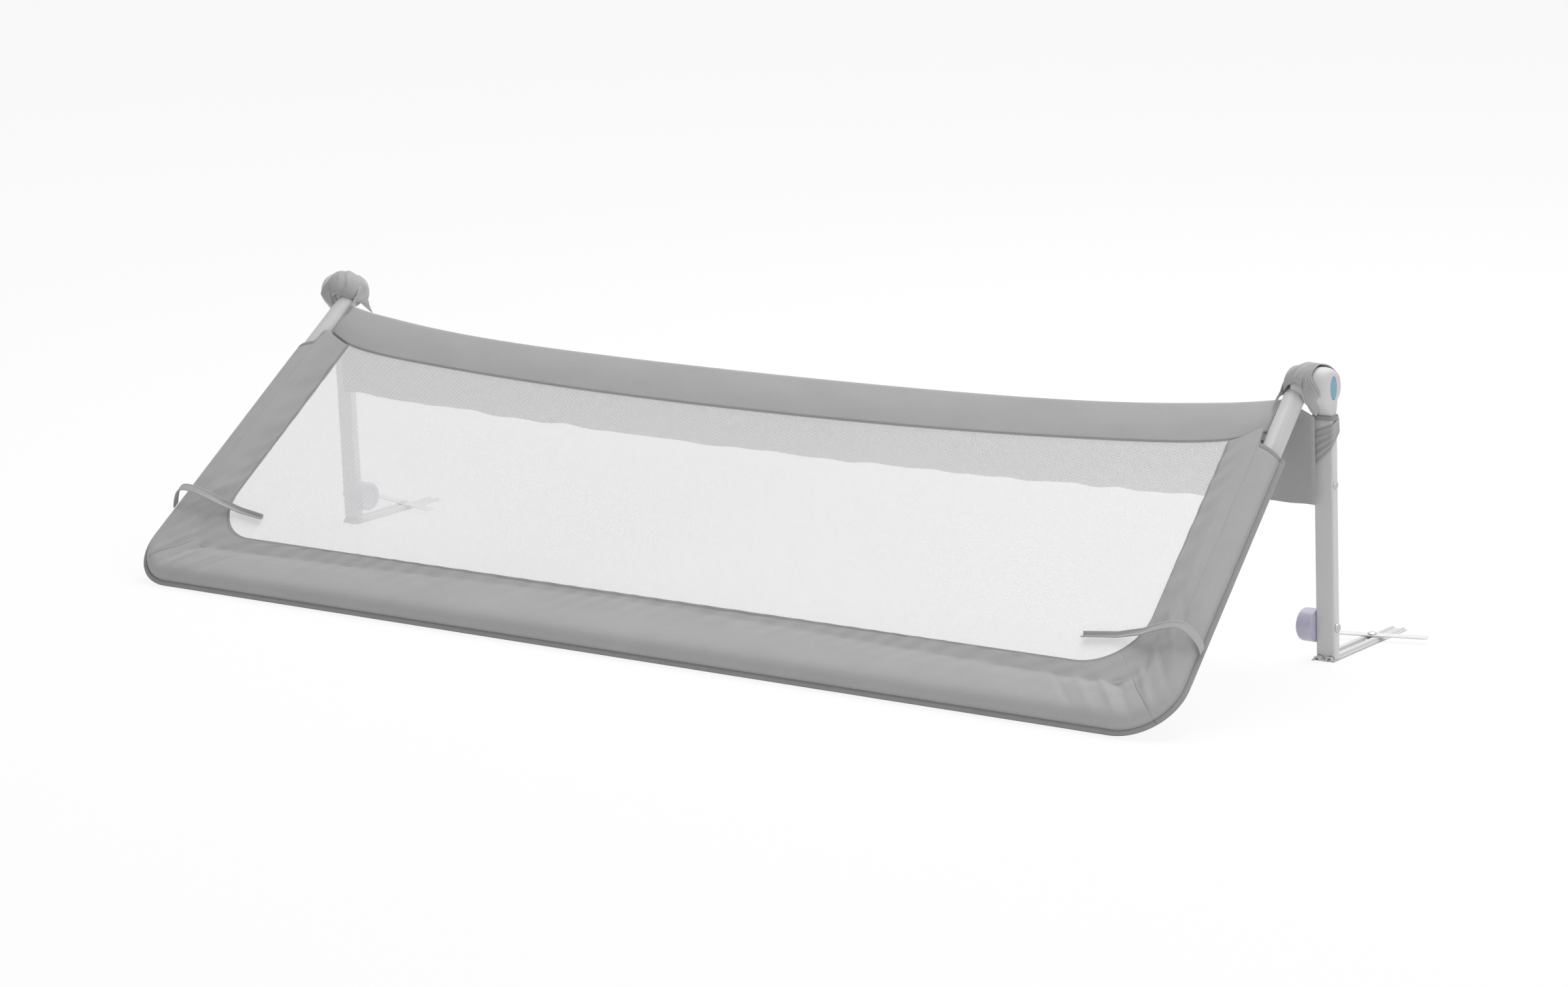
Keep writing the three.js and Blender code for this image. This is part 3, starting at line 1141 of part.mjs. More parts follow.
const guardRail = new THREE.Group();
const guard = new THREE.Group();
guard.position.set(0, -HINGE_FORWARD, HINGE_HEIGHT);
guard.rotation.x = -FOLD_ANGLE;
for (const [side, name] of [[-1, 'left'], [1, 'right']]) {
  guardRail.add(...uprightPieces(side, name));
  guard.add(...guardPieces(side, name));
}
guard.add(
  piece('crossbar_tube', crossbarTube(), FINISH.steel),
  piece('bottom_sleeve', bottomSleeve(), FINISH.fabric),
  piece('hinge_band', hingeBand(), FINISH.fabric),
  piece('window_net', windowNet(), FINISH.net),
);
guardRail.add(guard, piece('back_skirt', backSkirt(), FINISH.fabric));

// The origin is the middle of the whole object, on the ground
guardRail.updateMatrixWorld(true);
const bounds = new THREE.Box3().setFromObject(guardRail, true);
const middle = bounds.getCenter(new THREE.Vector3());
guardRail.position.set(-middle.x, -middle.y, -bounds.min.z);
guardRail.updateMatrixWorld(true);

export default guardRail;
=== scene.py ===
"""Looks of the folding bed guard rail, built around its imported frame.

Sizes are in millimetres, as the maker of the rail would write them, and a mesh is brought to metres
when it is made. X runs along the rail, Y from the guard back over the feet, and Z is up.
"""

import json
import logging
import math
from dataclasses import dataclass, field
from enum import Enum
from typing import Any, Sequence

import bmesh
import bpy
import numpy as np
from mathutils import Matrix, Vector

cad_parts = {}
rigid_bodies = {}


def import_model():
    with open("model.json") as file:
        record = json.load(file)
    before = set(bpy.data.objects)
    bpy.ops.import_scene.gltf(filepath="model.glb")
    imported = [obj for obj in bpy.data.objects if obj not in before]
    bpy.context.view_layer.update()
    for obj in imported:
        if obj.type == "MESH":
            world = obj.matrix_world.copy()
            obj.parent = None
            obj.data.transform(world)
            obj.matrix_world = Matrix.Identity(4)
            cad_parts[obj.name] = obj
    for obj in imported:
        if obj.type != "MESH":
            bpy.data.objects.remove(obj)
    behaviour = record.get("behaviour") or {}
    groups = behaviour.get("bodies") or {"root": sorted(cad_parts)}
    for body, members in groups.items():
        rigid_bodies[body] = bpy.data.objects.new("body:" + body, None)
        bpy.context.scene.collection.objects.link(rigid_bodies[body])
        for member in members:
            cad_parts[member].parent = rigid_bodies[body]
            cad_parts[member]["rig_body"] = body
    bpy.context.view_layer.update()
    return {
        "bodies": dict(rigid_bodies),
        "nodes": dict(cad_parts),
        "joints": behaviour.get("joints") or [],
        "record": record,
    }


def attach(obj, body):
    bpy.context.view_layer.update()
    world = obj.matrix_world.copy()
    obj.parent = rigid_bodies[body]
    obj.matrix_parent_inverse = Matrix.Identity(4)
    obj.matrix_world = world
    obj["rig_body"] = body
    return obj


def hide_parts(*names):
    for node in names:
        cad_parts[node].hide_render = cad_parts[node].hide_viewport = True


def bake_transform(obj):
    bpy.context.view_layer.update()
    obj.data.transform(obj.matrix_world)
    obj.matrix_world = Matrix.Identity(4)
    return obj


LOG = logging.getLogger("guard_rail")
MM = 0.001
# A seam's doubled cloth
CLOTH = 1.8
TUBE_HALF_WIDTH = 12.5
# The guard rests four steps of the 28-tooth lock gear off hanging straight down
FOLD = 4 * 2 * math.pi / 28


class Side(Enum):
    """The two ends of the rail, with the sign of their X."""

    LEFT = -1
    RIGHT = 1

    @property
    def label(self) -> str:
        """The side's name as the nodes write it."""
        return self.name.lower()

    @property
    def mirror(self) -> np.ndarray:
        """What brings points of the right side to this side."""
        return np.array([self.value, 1, 1])


class Edge(Enum):
    """How a refined steel or plastic piece has its edges broken, in millimetres."""

    SHEET = 0.25
    TUBE = 0.0
    MOULDED = 0.6


# Colours and nodes

def linear(code: str, share: float = 1.0) -> tuple[float, float, float, float]:
    """Turns an sRGB hex code into a linear colour.

    Args:
        code: Six hex digits after a hash.
        share: What the light is multiplied by, for a darker or lighter shade.

    Returns:
        Red, green, blue and alpha.
    """
    levels = [int(code[place:place + 2], 16) / 255 for place in (1, 3, 5)]
    values = [level / 12.92 if level <= 0.04045 else ((level + 0.055) / 1.055) ** 2.4 for level in levels]
    return tuple(min(1.0, value * share) for value in values) + (1.0,)


def add_node(tree: bpy.types.NodeTree, kind: str, inputs: dict[Any, Any] | None = None,
             **settings: Any) -> bpy.types.Node:
    """Adds one node, with its settings, its constants and its links.

    Args:
        tree: The node tree that gets it.
        kind: Blender's name of the node type.
        inputs: Constants or output sockets, by the input's name or number.
        **settings: Attributes of the node itself.

    Returns:
        The new node.
    """
    made = tree.nodes.new(kind)
    for name, value in settings.items():
        setattr(made, name, value)
    for name, value in (inputs or {}).items():
        if isinstance(value, bpy.types.NodeSocket):
            tree.links.new(value, made.inputs[name])
        else:
            made.inputs[name].default_value = value
    return made


def new_material(name: str) -> tuple[bpy.types.Material, bpy.types.NodeTree, bpy.types.Node]:
    """Makes an empty node material.

    Args:
        name: What the material is.

    Returns:
        The material, its tree and its output node.
    """
    material = bpy.data.materials.new(name)
    material.use_nodes = True
    tree = material.node_tree
    tree.nodes.clear()
    return material, tree, tree.nodes.new("ShaderNodeOutputMaterial")


def patchy_colour(tree: bpy.types.NodeTree, colour: str, shades: tuple[float, float], size: float,
                  detail: float) -> tuple[bpy.types.NodeSocket, bpy.types.NodeSocket, bpy.types.NodeSocket]:
    """Adds a colour that drifts between two shades in soft patches.

    Args:
        tree: The material's tree.
        colour: The colour as a hex code.
        shades: Shares of its light at the two ends.
        size: Size of a patch, in millimetres.
        detail: How ragged the patches are.

    Returns:
        Sockets of the place on the object, the patches' share and the colour.
    """
    place = add_node(tree, "ShaderNodeTexCoord").outputs["Object"]
    patches = add_node(tree, "ShaderNodeTexNoise", {
        "Vector": place,
        "Scale": 1 / (size * MM),
        "Detail": detail,
    })
    darker, lighter = (linear(colour, share) for share in shades)
    tone = add_node(tree, "ShaderNodeMix", {0: patches.outputs[0], 6: darker, 7: lighter}, data_type="RGBA")
    return place, patches.outputs[0], tone.outputs[2]


@dataclass(frozen=True)
class WovenCloth:
    """Plain-weave polyester, dyed grey: a matt face with a faint sheen and fine crossing threads."""

    name: str
    colour: str = "#b2b2b2"
    shades: tuple[float, float] = (0.93, 1.05)
    patch: float = 71.43
    thread: float = 0.9
    thread_contrast: float = 0.03
    depth: float = 0.10
    slub: float = 2.381
    slub_contrast: float = 0.12
    roughness: float = 0.92
    sheen: float = 0.25
    specular: float = 0.25

    def make(self) -> bpy.types.Material:
        """Builds the material.

        The threads are really 0.4 mm apart, and are drawn about twice as coarse so that they show.

        Returns:
            The material.
        """
        material, tree, out = new_material(self.name)
        uv = add_node(tree, "ShaderNodeUVMap", uv_map="cloth")
        turn = 2 * math.pi / (self.thread * MM)
        parts = add_node(tree, "ShaderNodeSeparateXYZ", {0: uv.outputs[0]})
        waves = []
        for axis in (0, 1):
            scaled = add_node(tree, "ShaderNodeMath", {0: parts.outputs[axis], 1: turn}, operation="MULTIPLY")
            wave = add_node(tree, "ShaderNodeMath", {0: scaled.outputs[0]}, operation="SINE")
            waves.append(wave.outputs[0])
        weave = add_node(tree, "ShaderNodeMath", {0: waves[0], 1: waves[1]}, operation="MULTIPLY").outputs[0]
        place, _, tone = patchy_colour(tree, self.colour, self.shades, self.patch, 3.0)
        slub = add_node(tree, "ShaderNodeTexNoise", {
            "Vector": place,
            "Scale": 1 / (self.slub * MM),
            "Detail": 2.0,
        })
        grain = add_node(tree, "ShaderNodeMath", {
            0: slub.outputs[0],
            1: self.slub_contrast,
            2: 1 - self.slub_contrast / 2,
        }, operation="MULTIPLY_ADD")
        fine = add_node(tree, "ShaderNodeMath", {
            0: weave,
            1: self.thread_contrast,
            2: grain.outputs[0],
        }, operation="MULTIPLY_ADD")
        shade = add_node(tree, "ShaderNodeVectorMath", {0: tone, 3: fine.outputs[0]}, operation="SCALE")
        bump = add_node(tree, "ShaderNodeBump", {
            "Strength": 0.5,
            "Distance": self.depth * MM,
            "Height": weave,
        })
        shader = add_node(tree, "ShaderNodeBsdfPrincipled", {
            "Base Color": shade.outputs[0],
            "Roughness": self.roughness,
            "Normal": bump.outputs[0],
            "Sheen Weight": self.sheen,
            "Sheen Roughness": 0.5,
            "Specular IOR Level": self.specular,
        })
        tree.links.new(shader.outputs[0], out.inputs[0])
        return material


@dataclass(frozen=True)
class RibbedTape:
    """Woven polyester tape, as the edge binding and tie straps are: closer ribs and a little more shine."""

    name: str
    colour: str = "#9c9c9c"
    shades: tuple[float, float] = (0.9, 1.0)
    patch: float = 16.667
    rib: float = 0.8
    depth: float = 0.06
    roughness: float = 0.8
    sheen: float = 0.2
    specular: float = 0.35

    def make(self) -> bpy.types.Material:
        """Builds the material.

        The ribs across the tape are really half as far apart, and are drawn coarser so that they show.

        Returns:
            The material.
        """
        material, tree, out = new_material(self.name)
        uv = add_node(tree, "ShaderNodeUVMap", uv_map="cloth")
        turn = 2 * math.pi / (self.rib * MM)
        parts = add_node(tree, "ShaderNodeSeparateXYZ", {0: uv.outputs[0]})
        scaled = add_node(tree, "ShaderNodeMath", {0: parts.outputs[0], 1: turn}, operation="MULTIPLY")
        ribs = add_node(tree, "ShaderNodeMath", {0: scaled.outputs[0]}, operation="SINE").outputs[0]
        _, _, tone = patchy_colour(tree, self.colour, self.shades, self.patch, 2.0)
        bump = add_node(tree, "ShaderNodeBump", {
            "Strength": 0.4,
            "Distance": self.depth * MM,
            "Height": ribs,
        })
        shader = add_node(tree, "ShaderNodeBsdfPrincipled", {
            "Base Color": tone,
            "Roughness": self.roughness,
            "Normal": bump.outputs[0],
            "Sheen Weight": self.sheen,
            "Specular IOR Level": self.specular,
        })
        tree.links.new(shader.outputs[0], out.inputs[0])
        return material


@dataclass(frozen=True)
class KnitNet:
    """Warp-knitted white polyester net: bright thin threads that let the things behind show through."""

    name: str
    colour: str = "#ffffff"
    shades: tuple[float, float] = (0.94, 1.0)
    patch: float = 3.3333
    roughness: float = 0.6
    sheen: float = 0.4
    specular: float = 0.6
    translucent_share: float = 0.15

    def make(self) -> bpy.types.Material:
        """Builds the material, a little of it translucent so that light from behind keeps the threads bright.

        Returns:
            The material.
        """
        material, tree, out = new_material(self.name)
        _, _, tone = patchy_colour(tree, self.colour, self.shades, self.patch, 2.0)
        shader = add_node(tree, "ShaderNodeBsdfPrincipled", {
            "Base Color": tone,
            "Roughness": self.roughness,
            "Specular IOR Level": self.specular,
            "Sheen Weight": self.sheen,
        })
        through = add_node(tree, "ShaderNodeBsdfTranslucent", {"Color": tone})
        mixed = add_node(tree, "ShaderNodeMixShader", {
            0: self.translucent_share,
            1: shader.outputs[0],
            2: through.outputs[0],
        })
        tree.links.new(mixed.outputs[0], out.inputs[0])
        return material


@dataclass(frozen=True)
class HardFinish:
    """A painted, plated or moulded surface: an even colour with faint cloudiness and fine surface grain."""

    name: str
    colour: str
    roughness: float
    metallic: float = 0.0
    grain: float = 0.6
    grain_depth: float = 0.02
    cloud: float = 0.04
    cloud_size: float = 40.0
    gloss_change: float = 0.12
    clear: float = 0.0
    ior: float = 1.5

    def make(self) -> bpy.types.Material:
        """Builds the material from a cloud of slight colour change, uneven gloss and a fine bump.

        Returns:
            The material.
        """
        material, tree, out = new_material(self.name)
        place, cloud, tone = patchy_colour(tree, self.colour, (1 - self.cloud, 1.0), self.cloud_size, 4.0)
        fine = add_node(tree, "ShaderNodeTexNoise", {
            "Vector": place,
            "Scale": 1 / (self.grain * MM),
            "Detail": 2.0,
        })
        gloss = add_node(tree, "ShaderNodeMath", {
            0: cloud,
            1: self.gloss_change,
            2: self.roughness - self.gloss_change / 2,
        }, operation="MULTIPLY_ADD")
        bump = add_node(tree, "ShaderNodeBump", {
            "Strength": 0.4,
            "Distance": self.grain_depth * MM,
            "Height": fine.outputs[0],
        })
        shader = add_node(tree, "ShaderNodeBsdfPrincipled", {
            "Base Color": tone,
            "Roughness": gloss.outputs[0],
            "Metallic": self.metallic,
            "Normal": bump.outputs[0],
            "Transmission Weight": self.clear,
            "IOR": self.ior,
        })
        tree.links.new(shader.outputs[0], out.inputs[0])
        return material


@dataclass(frozen=True)
class Finishes:
    """Every finish of the rail, made once and shared."""

    cloth: bpy.types.Material
    tape: bpy.types.Material
    webbing: bpy.types.Material
    net: bpy.types.Material
    thread: bpy.types.Material
    steel: bpy.types.Material
    strip: bpy.types.Material
    zinc: bpy.types.Material
    plastic: bpy.types.Material
    button: bpy.types.Material
    knob: bpy.types.Material

    @classmethod
    def make(cls) -> "Finishes":
        """Makes the eleven materials.

        Returns:
            The finishes.
        """
        return cls(
            # Dyed plain weave, which stays matt and soft in the light
            cloth=WovenCloth("woven_polyester_cloth").make(),
            # Ribbed binding, a shade darker than the cloth, which draws a line along the outer edge; also
            # laid along the window's edge, where its darker tone is painted shade
            tape=RibbedTape("woven_polyester_tape").make(),
            # The tie straps' tape, a shade lighter than the binding
            webbing=RibbedTape("woven_polyester_strap", "#b8b8b8").make(),
            # White knitted net, which reads as a bright veil over what lies behind
            net=KnitNet("knitted_polyester_net").make(),
            # Spun polyester thread, slightly darker than the cloth, which reads as a fine dotted line
            thread=HardFinish("spun_polyester_thread", "#969696", 0.85, grain=0.3, grain_depth=0.03).make(),
            # Powder-coated steel, satin grey with the faint orange peel of the cured powder
            steel=HardFinish("powder_coated_steel", "#d4d4d4", 0.42, grain=1.4, grain_depth=0.03).make(),
            # The same coating in a lighter shade on the thin cross strip
            strip=HardFinish("powder_coated_strip", "#e4e4e2", 0.45, grain=1.4, grain_depth=0.03).make(),
            # Bright zinc plate, a grey metal with a soft broken reflection
            zinc=HardFinish("zinc_plated_steel", "#c6c6c2", 0.32, metallic=1.0, grain=0.8, cloud=0.12).make(),
            # Injection-moulded ABS with a fine spark-eroded texture, which keeps its highlight broad
            plastic=HardFinish("moulded_abs", "#cfcfcf", 0.48, grain=0.5, grain_depth=0.03).make(),
            # The same ABS in pale blue on the push buttons
            button=HardFinish("moulded_abs_blue", "#7fa9c1", 0.42, grain=0.5, grain_depth=0.02).make(),
            # Cloudy polypropylene of the hand knobs, which lets some light into its edge
            knob=HardFinish("cloudy_polypropylene", "#d2d0e2", 0.35, grain=1.0, clear=0.25,
                            cloud=0.06).make(),
        )


# Meshes

def placed_object(name: str, mesh: bpy.types.Mesh) -> bpy.types.Object:
    """Makes an object of a mesh, at the origin, and links it to the scene.

    Args:
        name: The object's name.
        mesh: Its mesh.

    Returns:
        The object.
    """
    made = bpy.data.objects.new(name, mesh)
    bpy.context.scene.collection.objects.link(made)
    return made


def mesh_object(name: str, points: np.ndarray, faces: Sequence[Sequence[int]], material: bpy.types.Material,
                uv: np.ndarray) -> bpy.types.Object:
    """Makes a smooth-shaded object from points in millimetres.

    Args:
        name: The piece's name.
        points: An array of points, in millimetres, in the frame of the whole object.
        faces: Point numbers of each face.
        material: Its finish.
        uv: For each point, its place on the flat cloth in millimetres.

    Returns:
        The object, linked to the scene.
    """
    mesh = bpy.data.meshes.new(name)
    mesh.from_pydata((np.asarray(points, float) * MM).tolist(), [], [list(face) for face in faces])
    mesh.validate()
    mesh.materials.append(material)
    mesh.polygons.foreach_set("use_smooth", [True] * len(mesh.polygons))
    layer = mesh.uv_layers.new(name="cloth")
    corners = np.zeros(len(mesh.loops), np.int32)
    mesh.loops.foreach_get("vertex_index", corners)
    layer.data.foreach_set("uv", (np.asarray(uv)[corners] * MM).astype(np.float32).ravel())
    return placed_object(name, mesh)


def grid_faces(rows: int, columns: int, closed_rows: bool = False,
               closed_columns: bool = False) -> list[tuple]:
    """Quads over a grid of points stored row by row.

    Args:
        rows: Number of rows.
        columns: Number of points in a row.
        closed_rows: Whether the last row joins the first.
        closed_columns: Whether each row is a closed ring.

    Returns:
        A list of quads.
    """
    faces = []
    for row in range(rows if closed_rows else rows - 1):
        here = row * columns
        there = (row + 1) % rows * columns
        for column in range(columns if closed_columns else columns - 1):
            beside = (column + 1) % columns
            faces.append((here + column, here + beside, there + beside, there + column))
    return faces


def run_lengths(grid: np.ndarray) -> np.ndarray:
    """Distance along each axis of a grid of points, as flat-cloth coordinates.

    Args:
        grid: Points in rows and columns.

    Returns:
        For each point, its place along the rows and across them.
    """
    down = np.linalg.norm(np.diff(grid, axis=0), axis=2).mean(axis=1)
    over = np.linalg.norm(np.diff(grid, axis=1), axis=2).mean(axis=0)
    u = np.concatenate([[0], np.cumsum(down)])
    v = np.concatenate([[0], np.cumsum(over)])
    return np.stack(np.meshgrid(u, v, indexing="ij"), axis=2)


def thicken(made: bpy.types.Object, thickness: float, offset: float) -> None:
    """Gives a skin real thickness with a live Solidify modifier.

    Args:
        made: The skin.
        thickness: Thickness in millimetres.
        offset: Where the given surface lies, -1 being the outside face and 0 the middle.
    """
    solid = made.modifiers.new("thickness", "SOLIDIFY")
    solid.thickness = thickness * MM
    solid.offset = offset
    solid.use_even_offset = False


def cloth_object(name: str, grid: np.ndarray, material: bpy.types.Material,
                 thickness: float) -> bpy.types.Object:
    """Makes a sheet of cloth with real thickness about a grid of points.

    Args:
        name: The piece's name.
        grid: Points in rows and columns, in millimetres.
        material: The cloth.
        thickness: Thickness in millimetres.

    Returns:
        The object, with a live Solidify modifier.
    """
    rows, columns = grid.shape[:2]
    made = mesh_object(name, grid.reshape(-1, 3), grid_faces(rows, columns), material,
                       run_lengths(grid).reshape(-1, 2))
    thicken(made, thickness, 0)
    return made


def baked(made: bpy.types.Object) -> bpy.types.Object:
    """Turns an object with modifiers into the plain mesh that they make.

    Args:
        made: The object.

    Returns:
        The same object, without modifiers.
    """
    graph = bpy.context.evaluated_depsgraph_get()
    result = bpy.data.meshes.new_from_object(made.evaluated_get(graph))
    made.modifiers.clear()
    made.data = result
    return made


def joined(name: str, pieces: Sequence[bpy.types.Object]) -> bpy.types.Object:
    """Joins finished objects into one.

    Args:
        name: Name of the result.
        pieces: The objects, whose modifiers are baked first.

    Returns:
        The one object.
    """
    whole = bmesh.new()
    materials: list[bpy.types.Material] = []
    for made in pieces:
        baked(made)
        start = len(whole.faces)
        whole.from_mesh(made.data)
        whole.faces.ensure_lookup_table()
        slots = []
        for material in made.data.materials:
            if material not in materials:
                materials.append(material)
            slots.append(materials.index(material))
        for face in whole.faces[start:]:
            face.material_index = slots[face.material_index]
    mesh = bpy.data.meshes.new(name)
    whole.to_mesh(mesh)
    whole.free()
    for material in materials:
        mesh.materials.append(material)
    for made in pieces:
        bpy.data.objects.remove(made)
    return placed_object(name, mesh)


def grid_normals(grid: np.ndarray, centre: np.ndarray) -> np.ndarray:
    """Unit normals over a grid of points.

    Args:
        grid: Points in rows and columns.
        centre: A place that the normals point away from.

    Returns:
        A normal for each point.
    """
    normals = np.cross(np.gradient(grid, axis=0), np.gradient(grid, axis=1))
    normals /= np.linalg.norm(normals, axis=2)[..., None] + 1e-9
    return normals if ((grid - centre) * normals).sum() > 0 else -normals


def start_tree(name: str, sizes: dict[str, str]) -> tuple[bpy.types.NodeTree, bpy.types.Node]:
    """Starts a geometry node tree that lays something along the lines of a mesh.

    Args:
        name: What the tree makes.
        sizes: Kind of socket by the name of each size.

    Returns:
        The tree and its input node, which holds the lines, the sizes and the material.
    """
    tree = bpy.data.node_groups.new(name, "GeometryNodeTree")
    for label, kind in {"Geometry": "Geometry", **sizes, "Material": "Material"}.items():
        tree.interface.new_socket(label, in_out="INPUT", socket_type=f"NodeSocket{kind}")
    tree.interface.new_socket("Geometry", in_out="OUTPUT", socket_type="NodeSocketGeometry")
    return tree, add_node(tree, "NodeGroupInput")


def end_tree(tree: bpy.types.NodeTree, given: bpy.types.Node, laid: bpy.types.Node) -> bpy.types.NodeTree:
    """Ends a geometry node tree with real copies in the given material.

    Args:
        tree: The tree.
        given: Its input node.
        laid: The node that makes the shape.

    Returns:
        The tree.
    """
    real = add_node(tree, "GeometryNodeRealizeInstances", {0: laid.outputs[0]})
    dressed = add_node(tree, "GeometryNodeSetMaterial", {
        "Geometry": real.outputs[0],
        "Material": given.outputs["Material"],
    })
    add_node(tree, "NodeGroupOutput", {0: dressed.outputs[0]})
    return tree


def thread_tree() -> bpy.types.NodeTree:
    """Geometry nodes that widen each line of a net into a flat strand, by the given way across it.

    Returns:
        The tree.
    """
    tree, given = start_tree("net_threads", {"Across": "Vector"})
    strand = add_node(tree, "GeometryNodeExtrudeMesh", {
        "Mesh": given.outputs["Geometry"],
        "Offset": given.outputs["Across"],
    }, mode="EDGES")
    return end_tree(tree, given, strand)


def stitch_tree() -> bpy.types.NodeTree:
    """Geometry nodes that lay stitches of a given length and spacing along lines.

    Returns:
        The tree.
    """
    tree, given = start_tree("stitch_run", {"Spacing": "Float", "Length": "Float", "Radius": "Float"})
    curve = add_node(tree, "GeometryNodeMeshToCurve", {0: given.outputs["Geometry"]})
    spaced = add_node(tree, "GeometryNodeCurveToPoints", {
        "Curve": curve.outputs[0],
        "Length": given.outputs["Spacing"],
    }, mode="LENGTH")
    bead = add_node(tree, "GeometryNodeMeshUVSphere", {"Segments": 5, "Rings": 4, "Radius": 1.0})
    half = add_node(tree, "ShaderNodeMath", {0: given.outputs["Length"], 1: 0.5}, operation="MULTIPLY")
    size = add_node(tree, "ShaderNodeCombineXYZ", {
        0: given.outputs["Radius"],
        1: given.outputs["Radius"],
        2: half.outputs[0],
    })
    laid = add_node(tree, "GeometryNodeInstanceOnPoints", {
        "Points": spaced.outputs["Points"],
        "Instance": bead.outputs["Mesh"],
        "Rotation": spaced.outputs["Rotation"],
        "Scale": size.outputs[0],
    })
    return end_tree(tree, given, laid)


def laid_along(name: str, points: np.ndarray, edges: Sequence[tuple[int, int]], tree: bpy.types.NodeTree,
               inputs: dict[str, Any]) -> bpy.types.Object:
    """Runs a geometry node tree on lines and keeps its plain mesh.

    Args:
        name: Name of the piece.
        points: Points of the lines, in millimetres.
        edges: Pairs of point numbers.
        tree: The node tree.
        inputs: Values by the name of the tree's input.

    Returns:
        The piece.
    """
    mesh = bpy.data.meshes.new(name)
    mesh.from_pydata((points * MM).tolist(), edges, [])
    made = placed_object(name, mesh)
    modifier = made.modifiers.new(tree.name, "NODES")
    modifier.node_group = tree
    for item in tree.interface.items_tree:
        if item.in_out == "INPUT" and item.name in inputs:
            modifier[item.identifier] = inputs[item.name]
    return baked(made)


def soft_step(value: np.ndarray | float, low: float, high: float) -> np.ndarray:
    """Smooth rise from 0 at low to 1 at high."""
    share = np.clip((np.asarray(value, float) - low) / (high - low), 0, 1)
    return share * share * (3 - 2 * share)


@dataclass(frozen=True)
class Ripples:
    """Slight unevenness of a cloth surface, the same each run.

    It is the sum of a few plane waves of seeded directions.
    """

    seed: int
    wavelength: float
    height: float
    waves: int = 7

    def at(self, x: np.ndarray, y: np.ndarray) -> np.ndarray:
        """Height of the ripples.

        Args:
            x: Place along the flat cloth, in millimetres.
            y: Place across it.

        Returns:
            Heights in millimetres.
        """
        source = np.random.default_rng(self.seed)
        total = np.zeros(np.broadcast(x, y).shape)
        for _ in range(self.waves):
            angle = source.uniform(0, 2 * math.pi)
            length = self.wavelength * source.uniform(0.6, 1.7)
            start = source.uniform(0, 2 * math.pi)
            total += np.sin((x * math.cos(angle) + y * math.sin(angle)) * 2 * math.pi / length + start)
        return total * self.height / math.sqrt(self.waves)


@dataclass(frozen=True)
class Crease:
    """A soft ridge or furrow of the cloth between two places of its flat pattern."""

    start: tuple[float, float]
    end: tuple[float, float]
    width: float
    height: float

    def at(self, x: np.ndarray, y: np.ndarray) -> np.ndarray:
        """Height of the crease.

        Args:
            x: Place along the flat cloth, in millimetres.
            y: Place across it.

        Returns:
            Heights in millimetres.
        """
        run = np.array(self.end) - np.array(self.start)
        length = np.linalg.norm(run)
        along = ((x - self.start[0]) * run[0] + (y - self.start[1]) * run[1]) / length**2
        away = np.abs((x - self.start[0]) * run[1] - (y - self.start[1]) * run[0]) / length
        taper = np.sin(np.clip(along, 0, 1) * math.pi)
        return self.height * taper * np.exp(-((away / self.width) ** 2))


# The guard's own frame and outlines

@dataclass
class GuardFrame:
    """Places of the guard, which hangs from the hinge axis and stands folded forward."""

    hinge: Vector
    hinge_forward: float = 5.0
    leg_start: float = 707.0
    leg_flare: float = 0.085
    crossbar_drop: float = 469.79

    @property
    def hinge_y(self) -> float:
        """The hinge axis along Y, in millimetres."""
        return self.hinge.y / MM

    @property
    def hinge_z(self) -> float:
        """The hinge axis' height, in millimetres."""
        return self.hinge.z / MM

    @property
    def upright_y(self) -> float:
        """The uprights' middle along Y, in millimetres."""
        return self.hinge_y + self.hinge_forward

    def placed(self, x: np.ndarray, out: np.ndarray, drop: np.ndarray) -> np.ndarray:
        """Brings guard places into the frame of the whole object.

        Args:
            x: Place along the rail.
            out: Distance off the guard's middle plane, towards its upper side.
            drop: Distance down the guard from the hinge axis.

        Returns:
            Points in the frame of the whole object, in millimetres.
        """
        x, out, drop = np.broadcast_arrays(*(np.asarray(part, float) for part in (x, out, drop)))
        cos, sin = math.cos(FOLD), math.sin(FOLD)
        y = self.hinge_y - out * cos - drop * sin
        z = self.hinge_z + out * sin - drop * cos
        return np.stack([x, y, z], axis=-1)

    def leg_x(self, drop: np.ndarray | float) -> np.ndarray | float:
        """Middle of the leg at a drop below the hinge axis."""
        return self.leg_start + self.leg_flare * drop


